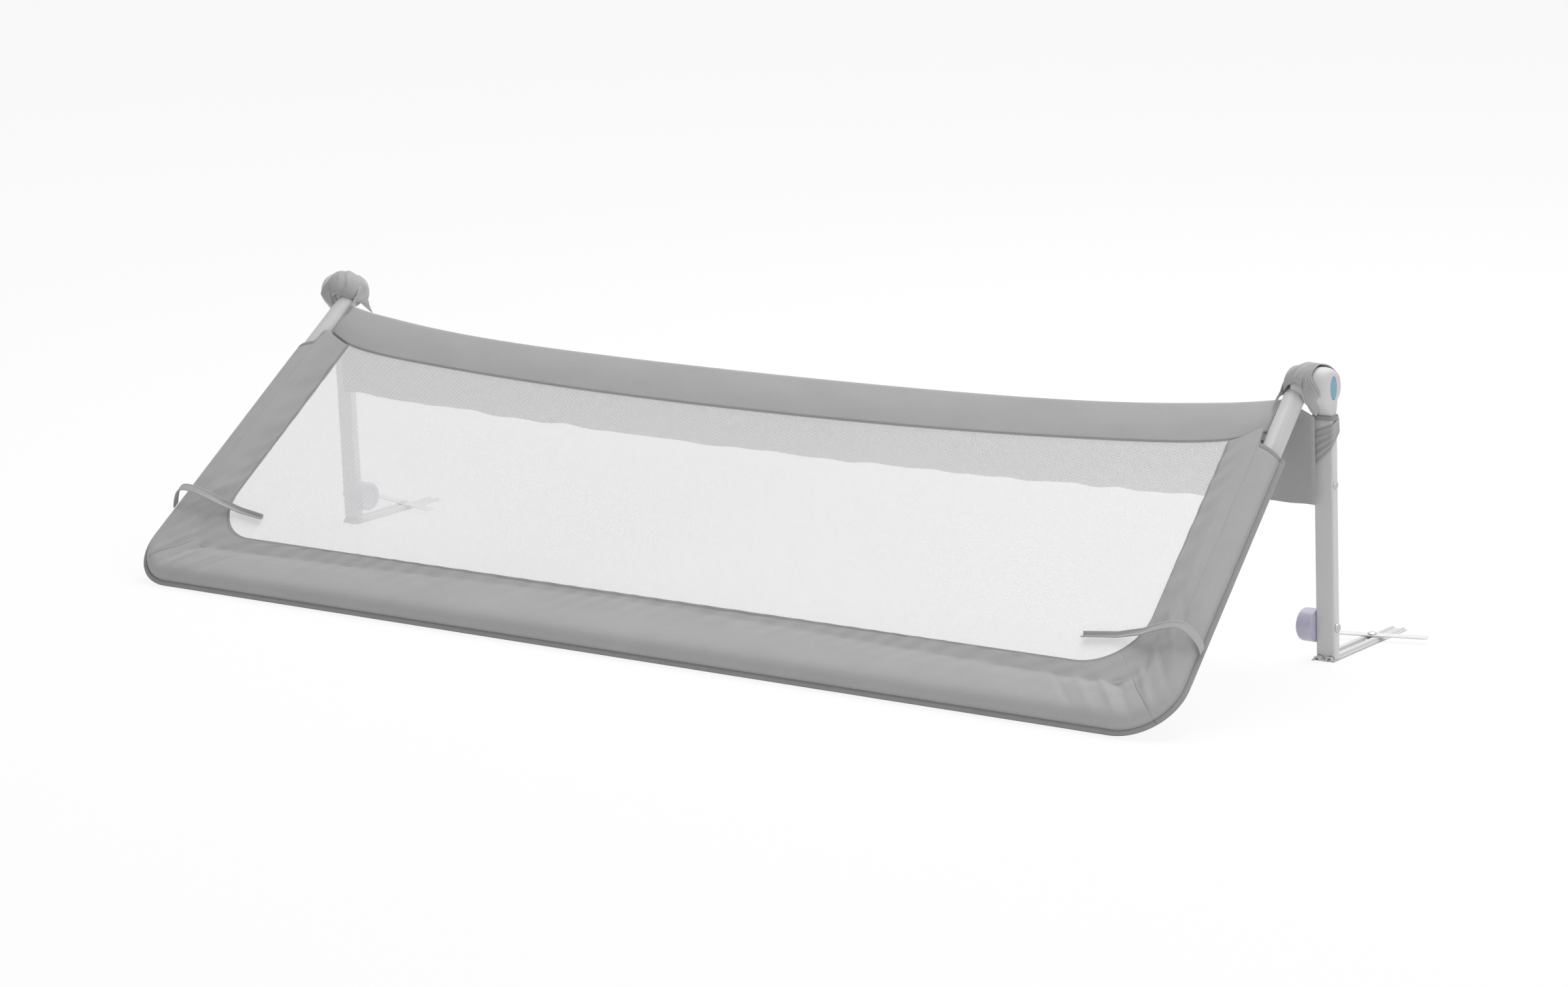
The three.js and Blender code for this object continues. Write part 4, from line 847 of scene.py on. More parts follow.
@dataclass
class CornerPath:
    """A line down the leg, round the corner and along the crossbar to the middle of the rail.

    The phase runs 0 to 1 down the leg, 1 to 2 round the bend and 2 to 3 along the crossbar.
    """

    guard: GuardFrame
    start_drop: float
    inset: float
    cross_drop: float
    bend: float

    def __post_init__(self) -> None:
        """Works out where the bend starts and its centre."""
        self.start = np.array([self.guard.leg_x(self.start_drop) - self.inset, self.start_drop])
        corner = np.array([self.guard.leg_x(self.cross_drop) - self.inset, self.cross_drop])
        down = (corner - self.start) / np.linalg.norm(corner - self.start)
        side = np.array([down[1], -down[0]])
        turn = math.acos(-down[0])
        self.bend_start = corner - down * self.bend / math.tan((math.pi - turn) / 2)
        self.centre = self.bend_start - side * self.bend
        self.first_angle = math.atan2(side[1], side[0])

    def at(self, phases: np.ndarray) -> tuple[np.ndarray, np.ndarray]:
        """Places and outward directions along the line.

        Args:
            phases: Phases from 0 to 3.

        Returns:
            Pairs of x and drop, and their outward directions.
        """
        angle = self.first_angle + (math.pi / 2 - self.first_angle) * np.clip(phases - 1, 0, 1)
        normals = np.stack([np.cos(angle), np.sin(angle)], axis=1)
        points = self.centre + normals * self.bend
        leg = phases <= 1
        points[leg] = self.start + (self.bend_start - self.start) * phases[leg, None]
        bar = phases > 2
        share = (phases[bar] - 2)[:, None]
        points[bar] = points[bar] * (1 - share) + np.array([0.0, self.cross_drop]) * share
        return points, normals

    def length(self, phases: np.ndarray) -> float:
        """Length of the line over the given phases."""
        points = self.at(phases)[0]
        return float(np.linalg.norm(np.diff(points, axis=0), axis=1).sum())


@dataclass
class Cover:
    """The sewn cover's shared lines: sleeve, window, net seam and fold."""

    guard: GuardFrame
    hem_drop: float = 99.0
    hem_rake: float = 0.5
    leg_margin: float = 58.0
    bottom_margin: float = 66.0
    tube_bend: float = 45.0
    window_bend: float = 66.0
    binding_edge: float = 22.0
    binding_width: float = 6.6
    binding_half: float = 1.9
    bulge: float = 13.0
    bulge_span: float = 56.0
    bulge_clear: float = 0.15
    crest_round: float = 9.0
    flat_half: float = 0.9
    band_half: float = 692.8
    fold_drop_middle: float = 62.0
    fold_rise: float = 15.5
    fold_end_rise: float = 24.0
    seam_drop_middle: float = 120.0
    seam_rise: float = 30.0
    seam_end_rise: float = 18.0

    def __post_init__(self) -> None:
        """Makes the two lines that the sleeves run along."""
        cross = self.guard.crossbar_drop
        inner = cross - self.bottom_margin
        self.sleeve = CornerPath(self.guard, self.hem_drop, 0, cross, self.tube_bend)
        self.window = CornerPath(self.guard, self.hem_drop, self.leg_margin, inner, self.window_bend)

    @property
    def groove(self) -> float:
        """Where the binding starts, off the tube's middle."""
        return self.binding_edge - self.binding_width

    def fold_drop(self, x: np.ndarray) -> np.ndarray:
        """Drop of the fold line below the hinge axis."""
        share = np.abs(x / self.band_half)
        return self.fold_drop_middle - self.fold_end_rise * share**5 - self.fold_rise * share**2

    def seam_drop(self, x: np.ndarray) -> np.ndarray:
        """Drop of the seam between band and net."""
        share = np.minimum(1, np.abs(x / self.band_half))
        return self.seam_drop_middle - self.seam_rise * share**2.2 - self.seam_end_rise * share**20

    def half_depth(self, across: np.ndarray) -> np.ndarray:
        """Half depth of a sleeve across the tube, the binding being outwards.

        Args:
            across: Distance from the tube's middle, outwards positive.

        Returns:
            Distance of the outer face from the guard's middle plane.
        """
        rise = self.bulge - self.flat_half
        dome = np.sqrt(np.clip(1 - (across / (self.groove + self.bulge_clear)) ** 2, 0, 1))
        outer = self.flat_half + rise * dome
        soft, span = self.crest_round, self.bulge_span
        away = (np.hypot(np.clip(-across, 0, span), soft) - soft) / (math.hypot(span, soft) - soft)
        inner = self.flat_half + rise * (1 - away)
        half_width = self.binding_width / 2
        reach = np.clip(np.abs(across - self.groove - half_width) / half_width, 0, 1)
        tape = self.binding_half * (1 - reach**4) ** 0.5 * (across > self.groove)
        return np.maximum(np.where(across > 0, outer, inner) * (across <= self.groove), tape)


@dataclass
class Stitching:
    """Runs of lockstitch, gathered for each body and laid by one tree."""

    finishes: Finishes
    spacing: float = 2.6
    length: float = 1.9
    radius: float = 0.15
    lines: dict[str, list[np.ndarray]] = field(default_factory=dict)

    def add(self, body: str, line: np.ndarray) -> None:
        """Adds a run along a line of points on the face of the cloth, which moves with the body."""
        self.lines.setdefault(body, []).append(line)

    def build(self) -> list[bpy.types.Object]:
        """Builds one piece of stitches for each body.

        Returns:
            The pieces.
        """
        made = []
        tree = stitch_tree()
        for body, lines in self.lines.items():
            edges, first = [], 0
            for line in lines:
                edges.extend((first + step, first + step + 1) for step in range(len(line) - 1))
                first += len(line)
            stitches = laid_along(f"{body}_stitches", np.concatenate(lines), edges, tree, {
                "Spacing": self.spacing * MM,
                "Length": self.length * MM,
                "Radius": self.radius * MM,
                "Material": self.finishes.thread,
            })
            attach(stitches, body)
            made.append(stitches)
        return made


@dataclass
class SleeveBuilder:
    """Makes the fabric sleeves round the leg tubes and the crossbar as one skin of cloth each."""

    guard: GuardFrame
    cover: Cover
    finishes: Finishes
    stitching: Stitching
    cloth: float = 0.8
    seam_gap: float = 1.2
    flank: float = 30.0
    shoulder: float = 18.0
    crown: float = 14.0
    margin_columns: int = 15
    roll_shares: tuple[float, ...] = (0, 0.02, 0.05, 0.075, 0.1, 0.125)
    margin_start_share: float = 0.17
    edge_half: float = 0.35
    window_roll: float = 3.6
    roll_rise: float = 1.6
    roll_height: float = 0.5
    roll_groove: float = 0.35
    groove_width: float = 0.8
    facing: float = 5.5
    facing_groove: float = 0.45
    mitre_groove: float = 0.75
    mitre_phase: float = 0.016
    hem_turn: tuple[float, float] = (13.6, 10.4)
    slack_outer: tuple[float, float] = (17.0, 13.0)
    slack_inner: tuple[float, float] = (66.0, 54.0)
    taut_share: float = 0.15
    widest: float = 90.0
    pucker: float = 0.5
    pucker_length: float = 37.0
    pucker_drift: float = 61.0
    pucker_reach: tuple[float, float] = (8.0, 60.0)
    back_shift: tuple[float, float] = (400.0, 70.0)
    stitch_lift: float = 0.12
    hem_stitch_lift: float = 0.3
    ripples: Ripples = Ripples(3, 90, 0.36)
    fine_ripples: Ripples = Ripples(11, 28, 0.12)
    corner_creases: tuple[Crease, ...] = (
        Crease((750, 472), (668, 368), 4.6, 2.4),
        Crease((728, 480), (646, 392), 5.2, -1.8),
        Crease((706, 476), (632, 398), 4.2, 2.1),
        Crease((754, 440), (686, 348), 4.8, -1.7),
        Crease((746, 408), (688, 314), 4.2, 1.6),
        Crease((682, 482), (606, 406), 5.0, 1.4),
        Crease((660, 484), (584, 414), 4.6, -1.2),
        Crease((742, 372), (694, 288), 4.6, -1.0),
    )

    def columns(self) -> np.ndarray:
        """Places of the columns over the tube and binding, closest where the section turns.

        Returns:
            Distances from the tube's middle, outwards positive.
        """
        groove, edge = self.cover.groove, self.cover.binding_edge
        return np.concatenate([
            np.linspace(-self.flank, -self.shoulder, 5, endpoint=False),
            np.linspace(-self.shoulder, -self.crown, 6, endpoint=False),
            self.crown * np.sin(np.linspace(-math.pi / 2, math.pi / 2, 20)),
            groove + np.array([-0.8, -0.25, 0.25, 0.7]),
            np.linspace(groove + 1.4, edge - 1.2, 4),
            edge - np.array([0.5, 0.0]),
        ])

    def section(self, phases: np.ndarray) -> tuple[np.ndarray, np.ndarray, np.ndarray, np.ndarray]:
        """Places of the sleeve's columns along its length.

        Args:
            phases: Phases along the sleeve.

        Returns:
            Arrays in rows and columns: x, drop, half depth, and distance across the tube.
        """
        point, normal = self.cover.sleeve.at(phases)
        edge = self.cover.window.at(phases)[0]
        over = self.columns()
        margin = np.linalg.norm(edge - point, axis=1)
        flat_shares = np.concatenate([
            self.roll_shares,
            np.linspace(self.margin_start_share, 1, self.margin_columns, endpoint=False),
        ])
        inner_place = point + normal * over[0]
        flat = edge[:, None] + (inner_place - edge)[:, None] * flat_shares[None, :, None]
        tube = point[:, None] + normal[:, None] * over[None, :, None]
        places = np.concatenate([flat, tube], axis=1)
        flat_across = -(margin[:, None] + (-over[0] - margin)[:, None] * flat_shares[None, :])
        across = np.concatenate([flat_across, np.broadcast_to(over, (len(phases), len(over)))], axis=1)
        depth = self.cover.half_depth(across)
        edge_run = margin[:, None] + across
        roll = soft_step(edge_run, self.window_roll + self.roll_rise, self.window_roll) * (edge_run > 0.5)
        depth = depth + self.roll_height * roll
        beside_roll = (edge_run - self.window_roll - 1.0) / self.groove_width
        depth = depth - self.roll_groove * np.exp(-(beside_roll**2))
        mitre = np.exp(-(((phases - 1.5) / self.mitre_phase) ** 2))[:, None]
        depth = depth - self.mitre_groove * mitre * (depth > 1.5)
        fade = np.clip(1 - phases, 0, 1)[:, None]
        hem = self.cover.hem_rake * across
        seam = self.cover.seam_drop(places[..., 0]) + self.seam_gap - self.cover.hem_drop
        toward = soft_step(across, -self.hem_turn[0], -self.hem_turn[1])
        shift = (seam * (1 - toward) + hem * toward) * fade
        down = np.stack([-normal[:, 1], normal[:, 0]], axis=1)
        down[phases < 2] *= np.sign(down[phases < 2][:, 1:2] + 1e-9)
        places = places + down[:, None] * shift[..., None]
        return places[..., 0], places[..., 1], depth, across

    def relief(self, x: np.ndarray, drop: np.ndarray, across: np.ndarray) -> np.ndarray:
        """Wrinkles and unevenness of the sleeve's face, off its smooth form.

        Args:
            x: Place along the rail.
            drop: Drop below the hinge axis.
            across: Distance from the tube's middle, outwards positive.

        Returns:
            Heights off the smooth form.
        """
        total = self.ripples.at(x, drop) + self.fine_ripples.at(x, drop)
        for crease in self.corner_creases:
            total = total + crease.at(np.abs(x), drop)
        slack = soft_step(across, *self.slack_outer) * soft_step(-across, *self.slack_inner)
        total = total * (self.taut_share + (1 - self.taut_share) * slack) * (np.abs(across) < self.widest)
        run = x + drop
        pull = np.sin(run * 2 * math.pi / self.pucker_length + 2.3 * np.sin(run / self.pucker_drift))
        pull = pull * soft_step(-across, *self.pucker_reach) * (across > -self.widest)
        return total + self.pucker * pull

    def skin(self, name: str, phases: np.ndarray, mirror: int, closed_to_middle: bool) -> bpy.types.Object:
        """Builds one sleeve.

        Args:
            name: Its name.
            phases: Phases along it.
            mirror: -1 for the left side.
            closed_to_middle: Whether it goes on over the middle of the rail to the other side.

        Returns:
            The sleeve.
        """
        x, drop, depth, across = self.section(phases)
        if closed_to_middle:
            x = np.concatenate([x, -x[-2::-1]])
            drop, depth, across = (np.concatenate([part, part[-2::-1]]) for part in (drop, depth, across))
        x = x * mirror
        back_x, back_drop = x + self.back_shift[0], drop + self.back_shift[1]
        front = depth + self.relief(x, drop, across) * (depth > 0)
        back = -depth - self.relief(back_x, back_drop, across) * (depth > 0)
        hem_run = np.full((len(x), 1), self.leg_length())
        if not closed_to_middle:
            hem_run = np.clip(phases, 0, 1)[:, None] * self.leg_length()
            off_line = (hem_run - self.facing) / self.groove_width
            line = np.exp(-(off_line**2)) * (depth > 0) * (across > -self.crown - 1)
            front = front - self.facing_groove * line
            back = back + self.facing_groove * line
        front[:, 0] = self.edge_half
        back[:, 0] = -self.edge_half
        self.stitch(x, front, drop, across, hem_run, closed_to_middle)
        upper, lower = self.guard.placed(x, front, drop), self.guard.placed(x, back, drop)
        ring = np.concatenate([upper, lower[:, ::-1]], axis=1)
        rows, columns = ring.shape[:2]
        made = mesh_object(name, ring.reshape(-1, 3), grid_faces(rows, columns, closed_columns=True),
                           self.finishes.cloth, run_lengths(ring).reshape(-1, 2))
        made.data.materials.append(self.finishes.tape)
        over = np.concatenate([across, across[:, ::-1]], axis=1)
        self.dress_edges(made.data, over.ravel(), (over - across[:, :1]).ravel(),
                         np.broadcast_to(hem_run, over.shape).ravel())
        outward_skin(made)
        thicken(made, self.cloth, -1)
        return made

    def dress_edges(self, mesh: bpy.types.Mesh, over: np.ndarray, inner: np.ndarray, run: np.ndarray) -> None:
        """Gives the tape's material to the binding and the facing at the hem, and to the window's edge roll,
        where its darker tone is painted shade.

        Args:
            mesh: The sleeve's mesh, whose second material is the tape.
            over: For each point, its distance from the tube's middle.
            inner: For each point, its distance from the window's edge.
            run: For each point, its distance from the hem.
        """
        tape = []
        for face in mesh.polygons:
            corners = list(face.vertices)
            binding = min(over[corners]) > self.cover.groove - 0.1
            # Faces along the window's edge take the darker tape as painted shade, standing in for the shade
            # where the edge curves away
            painted_edge_shade = max(inner[corners]) < self.window_roll + 0.6
            faced = max(run[corners]) < self.facing + 0.3 and min(over[corners]) > -self.crown
            tape.append(int(binding or painted_edge_shade or faced))
        mesh.polygons.foreach_set("material_index", tape)

    def leg_length(self) -> float:
        """Length of a leg sleeve from its hem to the start of the bend."""
        return self.cover.sleeve.length(np.linspace(0, 1, 3))

    def stitch(self, x: np.ndarray, front: np.ndarray, drop: np.ndarray, across: np.ndarray,
               hem_run: np.ndarray, bottom: bool) -> None:
        """Lays the runs of stitches of one sleeve, on its upper face.

        Args:
            x: Places along the rail, in rows and columns.
            front: Distances of the upper face off the guard's middle plane.
            drop: Drops below the hinge axis.
            across: Distances from the tube's middle.
            hem_run: Distance of each row from the hem.
            bottom: Whether it is the bottom sleeve, which has no hem.
        """
        groove = self.cover.groove
        column = int(np.argmin(np.abs(across[0] - groove - 1.4)))
        self.stitching.add("guard", self.guard.placed(x, front + self.stitch_lift, drop)[:, column])
        if not bottom:
            row = int(np.argmin(np.abs(hem_run[:, 0] - self.facing)))
            keep = (across[row] > -self.crown) & (across[row] < groove)
            self.stitching.add("guard", self.guard.placed(x, front + self.hem_stitch_lift, drop)[row][keep])

    def build(self) -> list[bpy.types.Object]:
        """Builds the two leg sleeves and the bottom sleeve, which ride on the guard.

        Returns:
            The three sleeves.
        """
        hem_end = (self.facing + 2) / self.leg_length()
        leg_phases = np.concatenate([
            np.linspace(0, hem_end, 10, endpoint=False),
            np.linspace(hem_end, 0.6, 44, endpoint=False),
            np.linspace(0.6, 1, 52, endpoint=False),
            np.linspace(1, 1.46, 24, endpoint=False),
            np.linspace(1.46, 1.4997, 9),
        ])
        bar_phases = np.concatenate([
            np.linspace(1.5003, 1.54, 8, endpoint=False),
            np.linspace(1.54, 2, 24, endpoint=False),
            np.linspace(2, 2.22, 60, endpoint=False),
            np.linspace(2.22, 3, 110),
        ])
        made = []
        for side in Side:
            sleeve = self.skin(f"{side.label}_leg_sleeve_cloth", leg_phases, side.value, False)
            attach(sleeve, "guard")
            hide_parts(f"{side.label}_leg_sleeve")
            length = self.cover.sleeve.length(leg_phases)
            made.append(sleeve)
        bottom = self.skin("bottom_sleeve_cloth", bar_phases, 1, True)
        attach(bottom, "guard")
        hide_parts("bottom_sleeve")
        length = 2 * self.cover.sleeve.length(bar_phases)
        made.append(bottom)
        return made


def outward_skin(made: bpy.types.Object) -> None:
    """Turns an open tube of cloth so that its faces point away from its middle.

    Args:
        made: The tube, which lies along the guard's plane.
    """
    mesh = made.data
    centres = np.zeros(len(mesh.polygons) * 3)
    normals = np.zeros(len(mesh.polygons) * 3)
    mesh.polygons.foreach_get("center", centres)
    mesh.polygons.foreach_get("normal", normals)
    centres = centres.reshape(-1, 3)
    normals = normals.reshape(-1, 3)
    lean = np.array([0, -math.cos(FOLD), math.sin(FOLD)])
    high = (centres - centres.mean(axis=0)) @ lean
    if float((normals @ lean * np.sign(high)).sum()) < 0:
        mesh.flip_normals()


@dataclass
class HingePanel:
    """The cloth between the legs: from the net seam up to the fold, over it and down behind as the skirt."""

    guard: GuardFrame
    cover: Cover
    finishes: Finishes
    stitching: Stitching
    cloth: float = 1.1
    columns: int = 281
    band_rows: int = 15
    skirt_half: float = 729.5
    skirt_bottom: float = 168.0
    skirt_lift: float = 10.0
    skirt_end_top: float = 282.5
    skirt_end_y: float = -12.0
    skirt_bottom_y: float = -22.0
    skirt_clear: float = 1.05
    folds: int = 9
    fold_depth: float = 2.2
    crest_lift: float = 1.0
    crest_share: float = 0.25
    crest_ease_share: float = 0.4
    leg_gap: float = 1.4
    stitch_out: float = 1.2
    stitch_rise: float = 1.6
    blend_behind: float = 30.0
    blend_before: float = 4.0
    ripples: Ripples = Ripples(21, 160, 0.5)
    fine_ripples: Ripples = Ripples(5, 40, 0.12)
    hem_ripples: Ripples = Ripples(31, 60, 1.1)

    def skirt_point(self, u: np.ndarray, share: float) -> np.ndarray:
        """Places along one row of the skirt.

        Args:
            u: Shares along the rail.
            share: 0 at the fold and 1 at the lower edge.

        Returns:
            Points in the frame of the whole object, in millimetres.
        """
        x = self.skirt_half * (2 * u - 1)
        side = np.minimum(1, np.abs(x) / self.cover.band_half)
        fold = self.guard.placed(x, 0.0, self.cover.fold_drop(x))
        under = side**12
        end_y = self.guard.upright_y + self.skirt_end_y
        top_y = (fold[..., 1] + self.skirt_clear) * (1 - under) + end_y * under
        top_z = (fold[..., 2] - self.skirt_clear) * (1 - under) + self.skirt_end_top * under
        toward_end = (self.skirt_end_y - self.skirt_bottom_y) * side**2
        bottom_y = self.guard.upright_y + self.skirt_bottom_y + toward_end
        bottom_z = self.skirt_bottom + self.skirt_lift * side**2
        wave = self.fold_depth * (1 - side**4) * share * np.sin(u * self.folds * 2 * math.pi)
        y = top_y * (1 - share) + bottom_y * share + wave
        z = top_z * (1 - share) + bottom_z * share
        ragged = self.hem_ripples.at(x, np.full_like(x, 5)) * share**3
        return np.stack([x, y, z + ragged], axis=-1)

    def grid(self) -> np.ndarray:
        """Places of the panel in rows from the net seam over the fold to the skirt's lower edge.

        Returns:
            The grid, in millimetres.
        """
        u = np.linspace(0, 1, self.columns)
        rows = []
        end = np.array(self.cover.band_half)
        for share in np.linspace(0, 1, self.band_rows):
            end_drop = self.cover.seam_drop(end) * (1 - share) + self.cover.fold_drop(end) * share
            x = (self.guard.leg_x(end_drop) - TUBE_HALF_WIDTH - self.leg_gap) * (2 * u - 1)
            drop = self.cover.seam_drop(x) * (1 - share) + self.cover.fold_drop(x) * share
            swell = CLOTH + self.ripples.at(x, drop) + self.fine_ripples.at(x, drop)
            rows.append(self.guard.placed(x, swell * math.sin(share * math.pi), drop))
        crest = rows[-1].copy()
        rows[-1] = rows[-1] * (1 - self.crest_ease_share) + rows[-2] * self.crest_ease_share
        first_skirt = self.skirt_point(u, 0.05)
        lift = np.array([0, 0, self.crest_lift])
        rows.append(crest * (1 - self.crest_share) + first_skirt * self.crest_share + lift)
        for share in np.concatenate([[0.05, 0.09], np.linspace(0.14, 0.97, 15), [0.985, 1.0]]):
            rows.append(self.skirt_point(u, share))
        return np.stack(rows)

    def build(self) -> bpy.types.Object:
        """Builds the panel as one mesh, attached to no body.

        Returns:
            The panel.
        """
        grid = self.grid()
        seam_x = grid[0][:, 0]
        seam = self.guard.placed(seam_x, self.stitch_out, self.cover.seam_drop(seam_x) - self.stitch_rise)
        self.stitching.add("guard", seam)
        made = baked(cloth_object("hinge_panel_cloth", grid, self.finishes.cloth, self.cloth))
        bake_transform(made)
        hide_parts("hinge_band", "back_skirt")
        return made


@dataclass
class WindowNet:
    """The net window: two crossing sets of slanting flat strands, cut off inside the seams."""

    guard: GuardFrame
    cover: Cover
    finishes: Finishes
    pitch: float = 1.6
    strand: float = 0.74
    layer: float = 0.12
    slope: float = math.pi / 4
    tuck: float = 2.0
    step: float = 45.0
    sag_depth: float = 2.5

    def outline(self) -> np.ndarray:
        """The net's edge, tucked into the seams.

        Returns:
            A closed line of x and drop.
        """
        edge, normal = self.cover.window.at(np.linspace(0.02, 3, 260))
        right = edge + normal * self.tuck
        top_half = right[0, 0]
        x = np.linspace(-top_half, top_half, 200)
        top = np.stack([x, self.cover.seam_drop(x) - self.tuck], axis=1)
        right = right[right[:, 1] > top[-1, 1]]
        left = right[::-1] * np.array([-1, 1])
        return np.concatenate([top, right, left[1:]])

    def strands(self, outline: np.ndarray, sign: int) -> tuple[np.ndarray, list[tuple[int, int]], np.ndarray]:
        """Lines of one set of strands.

        Args:
            outline: The net's edge.
            sign: 1 for the set that falls to the right and -1 for the other.

        Returns:
            Points of x and drop, the edges between them, and the way across a strand.
        """
        points: list[np.ndarray] = []
        edges: list[tuple[int, int]] = []
        along = np.array([math.cos(self.slope), sign * math.sin(self.slope)])
        across = np.array([-along[1], along[0]])
        offsets = outline @ across
        runs = outline @ along
        for offset in np.arange(offsets.min() + self.pitch, offsets.max(), self.pitch):
            here = offsets - offset
            ahead = np.roll(here, -1)
            cuts = np.nonzero(here * ahead < 0)[0]
            share = here[cuts] / (here[cuts] - ahead[cuts])
            ends = np.sort(runs[cuts] * (1 - share) + np.roll(runs, -1)[cuts] * share)
            for start, end in zip(ends[::2], ends[1::2]):
                count = max(2, int((end - start) / self.step) + 2)
                places = along * np.linspace(start, end, count)[:, None] + across * offset
                first = len(points)
                points.extend(places)
                edges.extend((first + index, first + index + 1) for index in range(count - 1))
        return np.array(points), edges, across

    def sag(self, x: np.ndarray, drop: np.ndarray) -> np.ndarray:
        """How far the net lies off the guard's middle plane.

        Args:
            x: Place along the rail.
            drop: Drop below the hinge axis.

        Returns:
            Distances, negative because the net hangs to the lower side.
        """
        top = self.cover.seam_drop(x)
        bottom = self.guard.crossbar_drop - self.cover.bottom_margin
        share = np.clip((drop - top) / (bottom - top), 0, 1)
        half = self.guard.leg_x(drop) - self.cover.leg_margin
        return -self.sag_depth * np.sin(share * math.pi) * (1 - np.minimum(1, np.abs(x) / half) ** 6)

    def build(self) -> bpy.types.Object:
        """Builds the net, which rides on the guard.

        Returns:
            The net.
        """
        tree = thread_tree()
        outline = self.outline()
        sets = []
        for sign in (-1, 1):
            flat, edges, across = self.strands(outline, sign)
            x, drop = flat.T
            way = self.guard.placed(across[0], 0, across[1]) - self.guard.placed(0, 0, 0)
            places = self.guard.placed(x, self.sag(x, drop) + sign * self.layer, drop)
            sets.append(laid_along("strands", places - way * self.strand / 2, edges, tree, {
                "Across": tuple(way * self.strand * MM),
                "Material": self.finishes.net,
            }))
        made = joined("window_net_threads", sets)
        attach(made, "guard")
        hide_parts("window_net")
        return made


@dataclass
class Hood:
    """The loose fabric hood over a hinge.

    It lies round the housing, arches over the leg and hangs closed on the inboard side, where its hem
    passes over the fold of the band. Its angles are in degrees forward and back of straight up, and its
    distances along X are measured from the joint between housing and leg, outwards positive.
    """

    guard: GuardFrame
    finishes: Finishes
    stitching: Stitching
    side: Side
    joint_x: float = 722.0
    radius: float = 24.9
    cloth: float = 1.0
    rows: int = 84
    leg_share: float = 0.36
    outer: float = 11.0
    outer_top: float = 100.0
    spread: float = 12.0
    spread_turn: tuple[float, float] = (15.0, 75.0)
    leg_clear: float = 1.5
    leg_turn: float = 4.5
    shoulder: float = -16.6
    shoulder_reach: float = 11.6
    shoulder_start: float = -4.0
    disc_radius: float = 20.9
    rim_radius: float = 9.0
    outer_draw: float = 2.6
    outer_draw_reach: tuple[float, float] = (14.0, 24.0)
    front: float = 150.0
    front_outer: float = 126.0
    front_start: float = 6.0
    twist: tuple[float, float] = (1.0, -7.0)
    apron_share: float = 0.13
    apron_height: float = 279.2
    apron_slope: float = 1.25
    apron_start: float = 9.0
    apron_out: float = 5.6
    apron_wave: float = 0.5
    arches: tuple[float, float] = (97.0, 80.0)
    arch_rise: float = 8.0
    face_front: float = 112.0
    face_lean: float = 1.6
    back: float = 128.0
    gather: float = 3.0
    gather_height: float = 0.5
    gather_reach: tuple[float, float] = (11.0, 7.0)
    gather_end: tuple[float, float] = (0.3, -1.2)
    neck_x: float = 736.0
    neck_half: tuple[float, float] = (13.6, 7.9)
    neck_height: tuple[float, float] = (273.6, 278.4)
    neck_squareness: float = 0.5
    elastic: float = 0.9
    elastic_swell: float = 0.25
    stitch_lift: float = 0.12
    ripples: Ripples = Ripples(41, 26, 0.6)
    ripple_shift: float = 40.0
    face_ripples: Ripples = Ripples(43, 22, 0.5)
    creases: tuple[Crease, ...] = (
        Crease((-16, 2), (30, -24), 3.0, 1.8),
        Crease((-4, 6), (34, -12), 2.4, 0.9),
        Crease((-34, -2), (2, -24), 3.2, 1.2),
        Crease((-52, 2), (-20, -20), 3.6, 1.0),
        Crease((2, 8), (40, 4), 2.4, 0.9),
    )
    face_creases: tuple[Crease, ...] = (
        Crease((120, 330), (80, 288), 3.4, 2.4),
        Crease((126, 322), (92, 296), 3.0, -1.0),
        Crease((112, 332), (74, 292), 2.4, -0.9),
        Crease((130, 312), (104, 298), 3.2, 1.5),
    )
    # Knots of the hem: share from front to back, Y and height
    hem: tuple[tuple[float, float, float], ...] = (
        (0.0, 77.0, 287.2),
        (0.12, 83.6, 292.7),
        (0.25, 90.6, 298.2),
        (0.40, 97.0, 300.4),
        (0.55, 104.0, 299.6),
        (0.70, 112.5, 294.6),
        (0.85, 121.5, 287.6),
        (1.0, 130.0, 281.0),
    )

    @property
    def face_x(self) -> float:
        """Where the inboard face hangs, from the joint."""
        return self.shoulder - self.shoulder_reach

    def columns(self, u: np.ndarray) -> tuple[np.ndarray, np.ndarray, np.ndarray]:
        """Places of the columns that lie round the hinge axis.

        Args:
            u: Share of each row from the front edge to the back edge.

        Returns:
            Distance of each point from the joint, the outer edge of each row, and how far each point is
            drawn in towards the axis.
        """
        shares = np.concatenate([
            np.linspace(0, self.leg_share, 34, endpoint=False),
            np.linspace(self.leg_share, 1, 26),
        ])[None, :]
        bend = np.linspace(0, math.pi / 2, 13)[1:][None, :]
        turn = np.radians(self.outer_top - (self.outer_top + self.back) * u)
        turned = soft_step(np.abs(turn), *(math.radians(end) for end in self.spread_turn))
        outer = self.outer + self.spread * turned
        over_housing = np.clip(shares / self.leg_share, 0, 1)
        over_leg = np.clip((shares - self.leg_share) / (1 - self.leg_share), 0, 1)
        x = outer * (1 - over_housing) + self.leg_clear * over_housing
        x = x + (self.shoulder - self.leg_clear) * over_leg
        closing = np.broadcast_to(bend, (self.rows, bend.shape[1]))
        x = np.concatenate([x, self.shoulder - self.shoulder_reach * np.sin(closing)], axis=1)
        drawn = (self.radius - self.disc_radius) * soft_step(x, self.shoulder_start, self.shoulder + 1)
        drawn = drawn + self.outer_draw * soft_step(x, *self.outer_draw_reach)
        drawn[:, shares.shape[1]:] += (self.disc_radius - self.rim_radius) * (1 - np.cos(closing))
        return x, outer, drawn

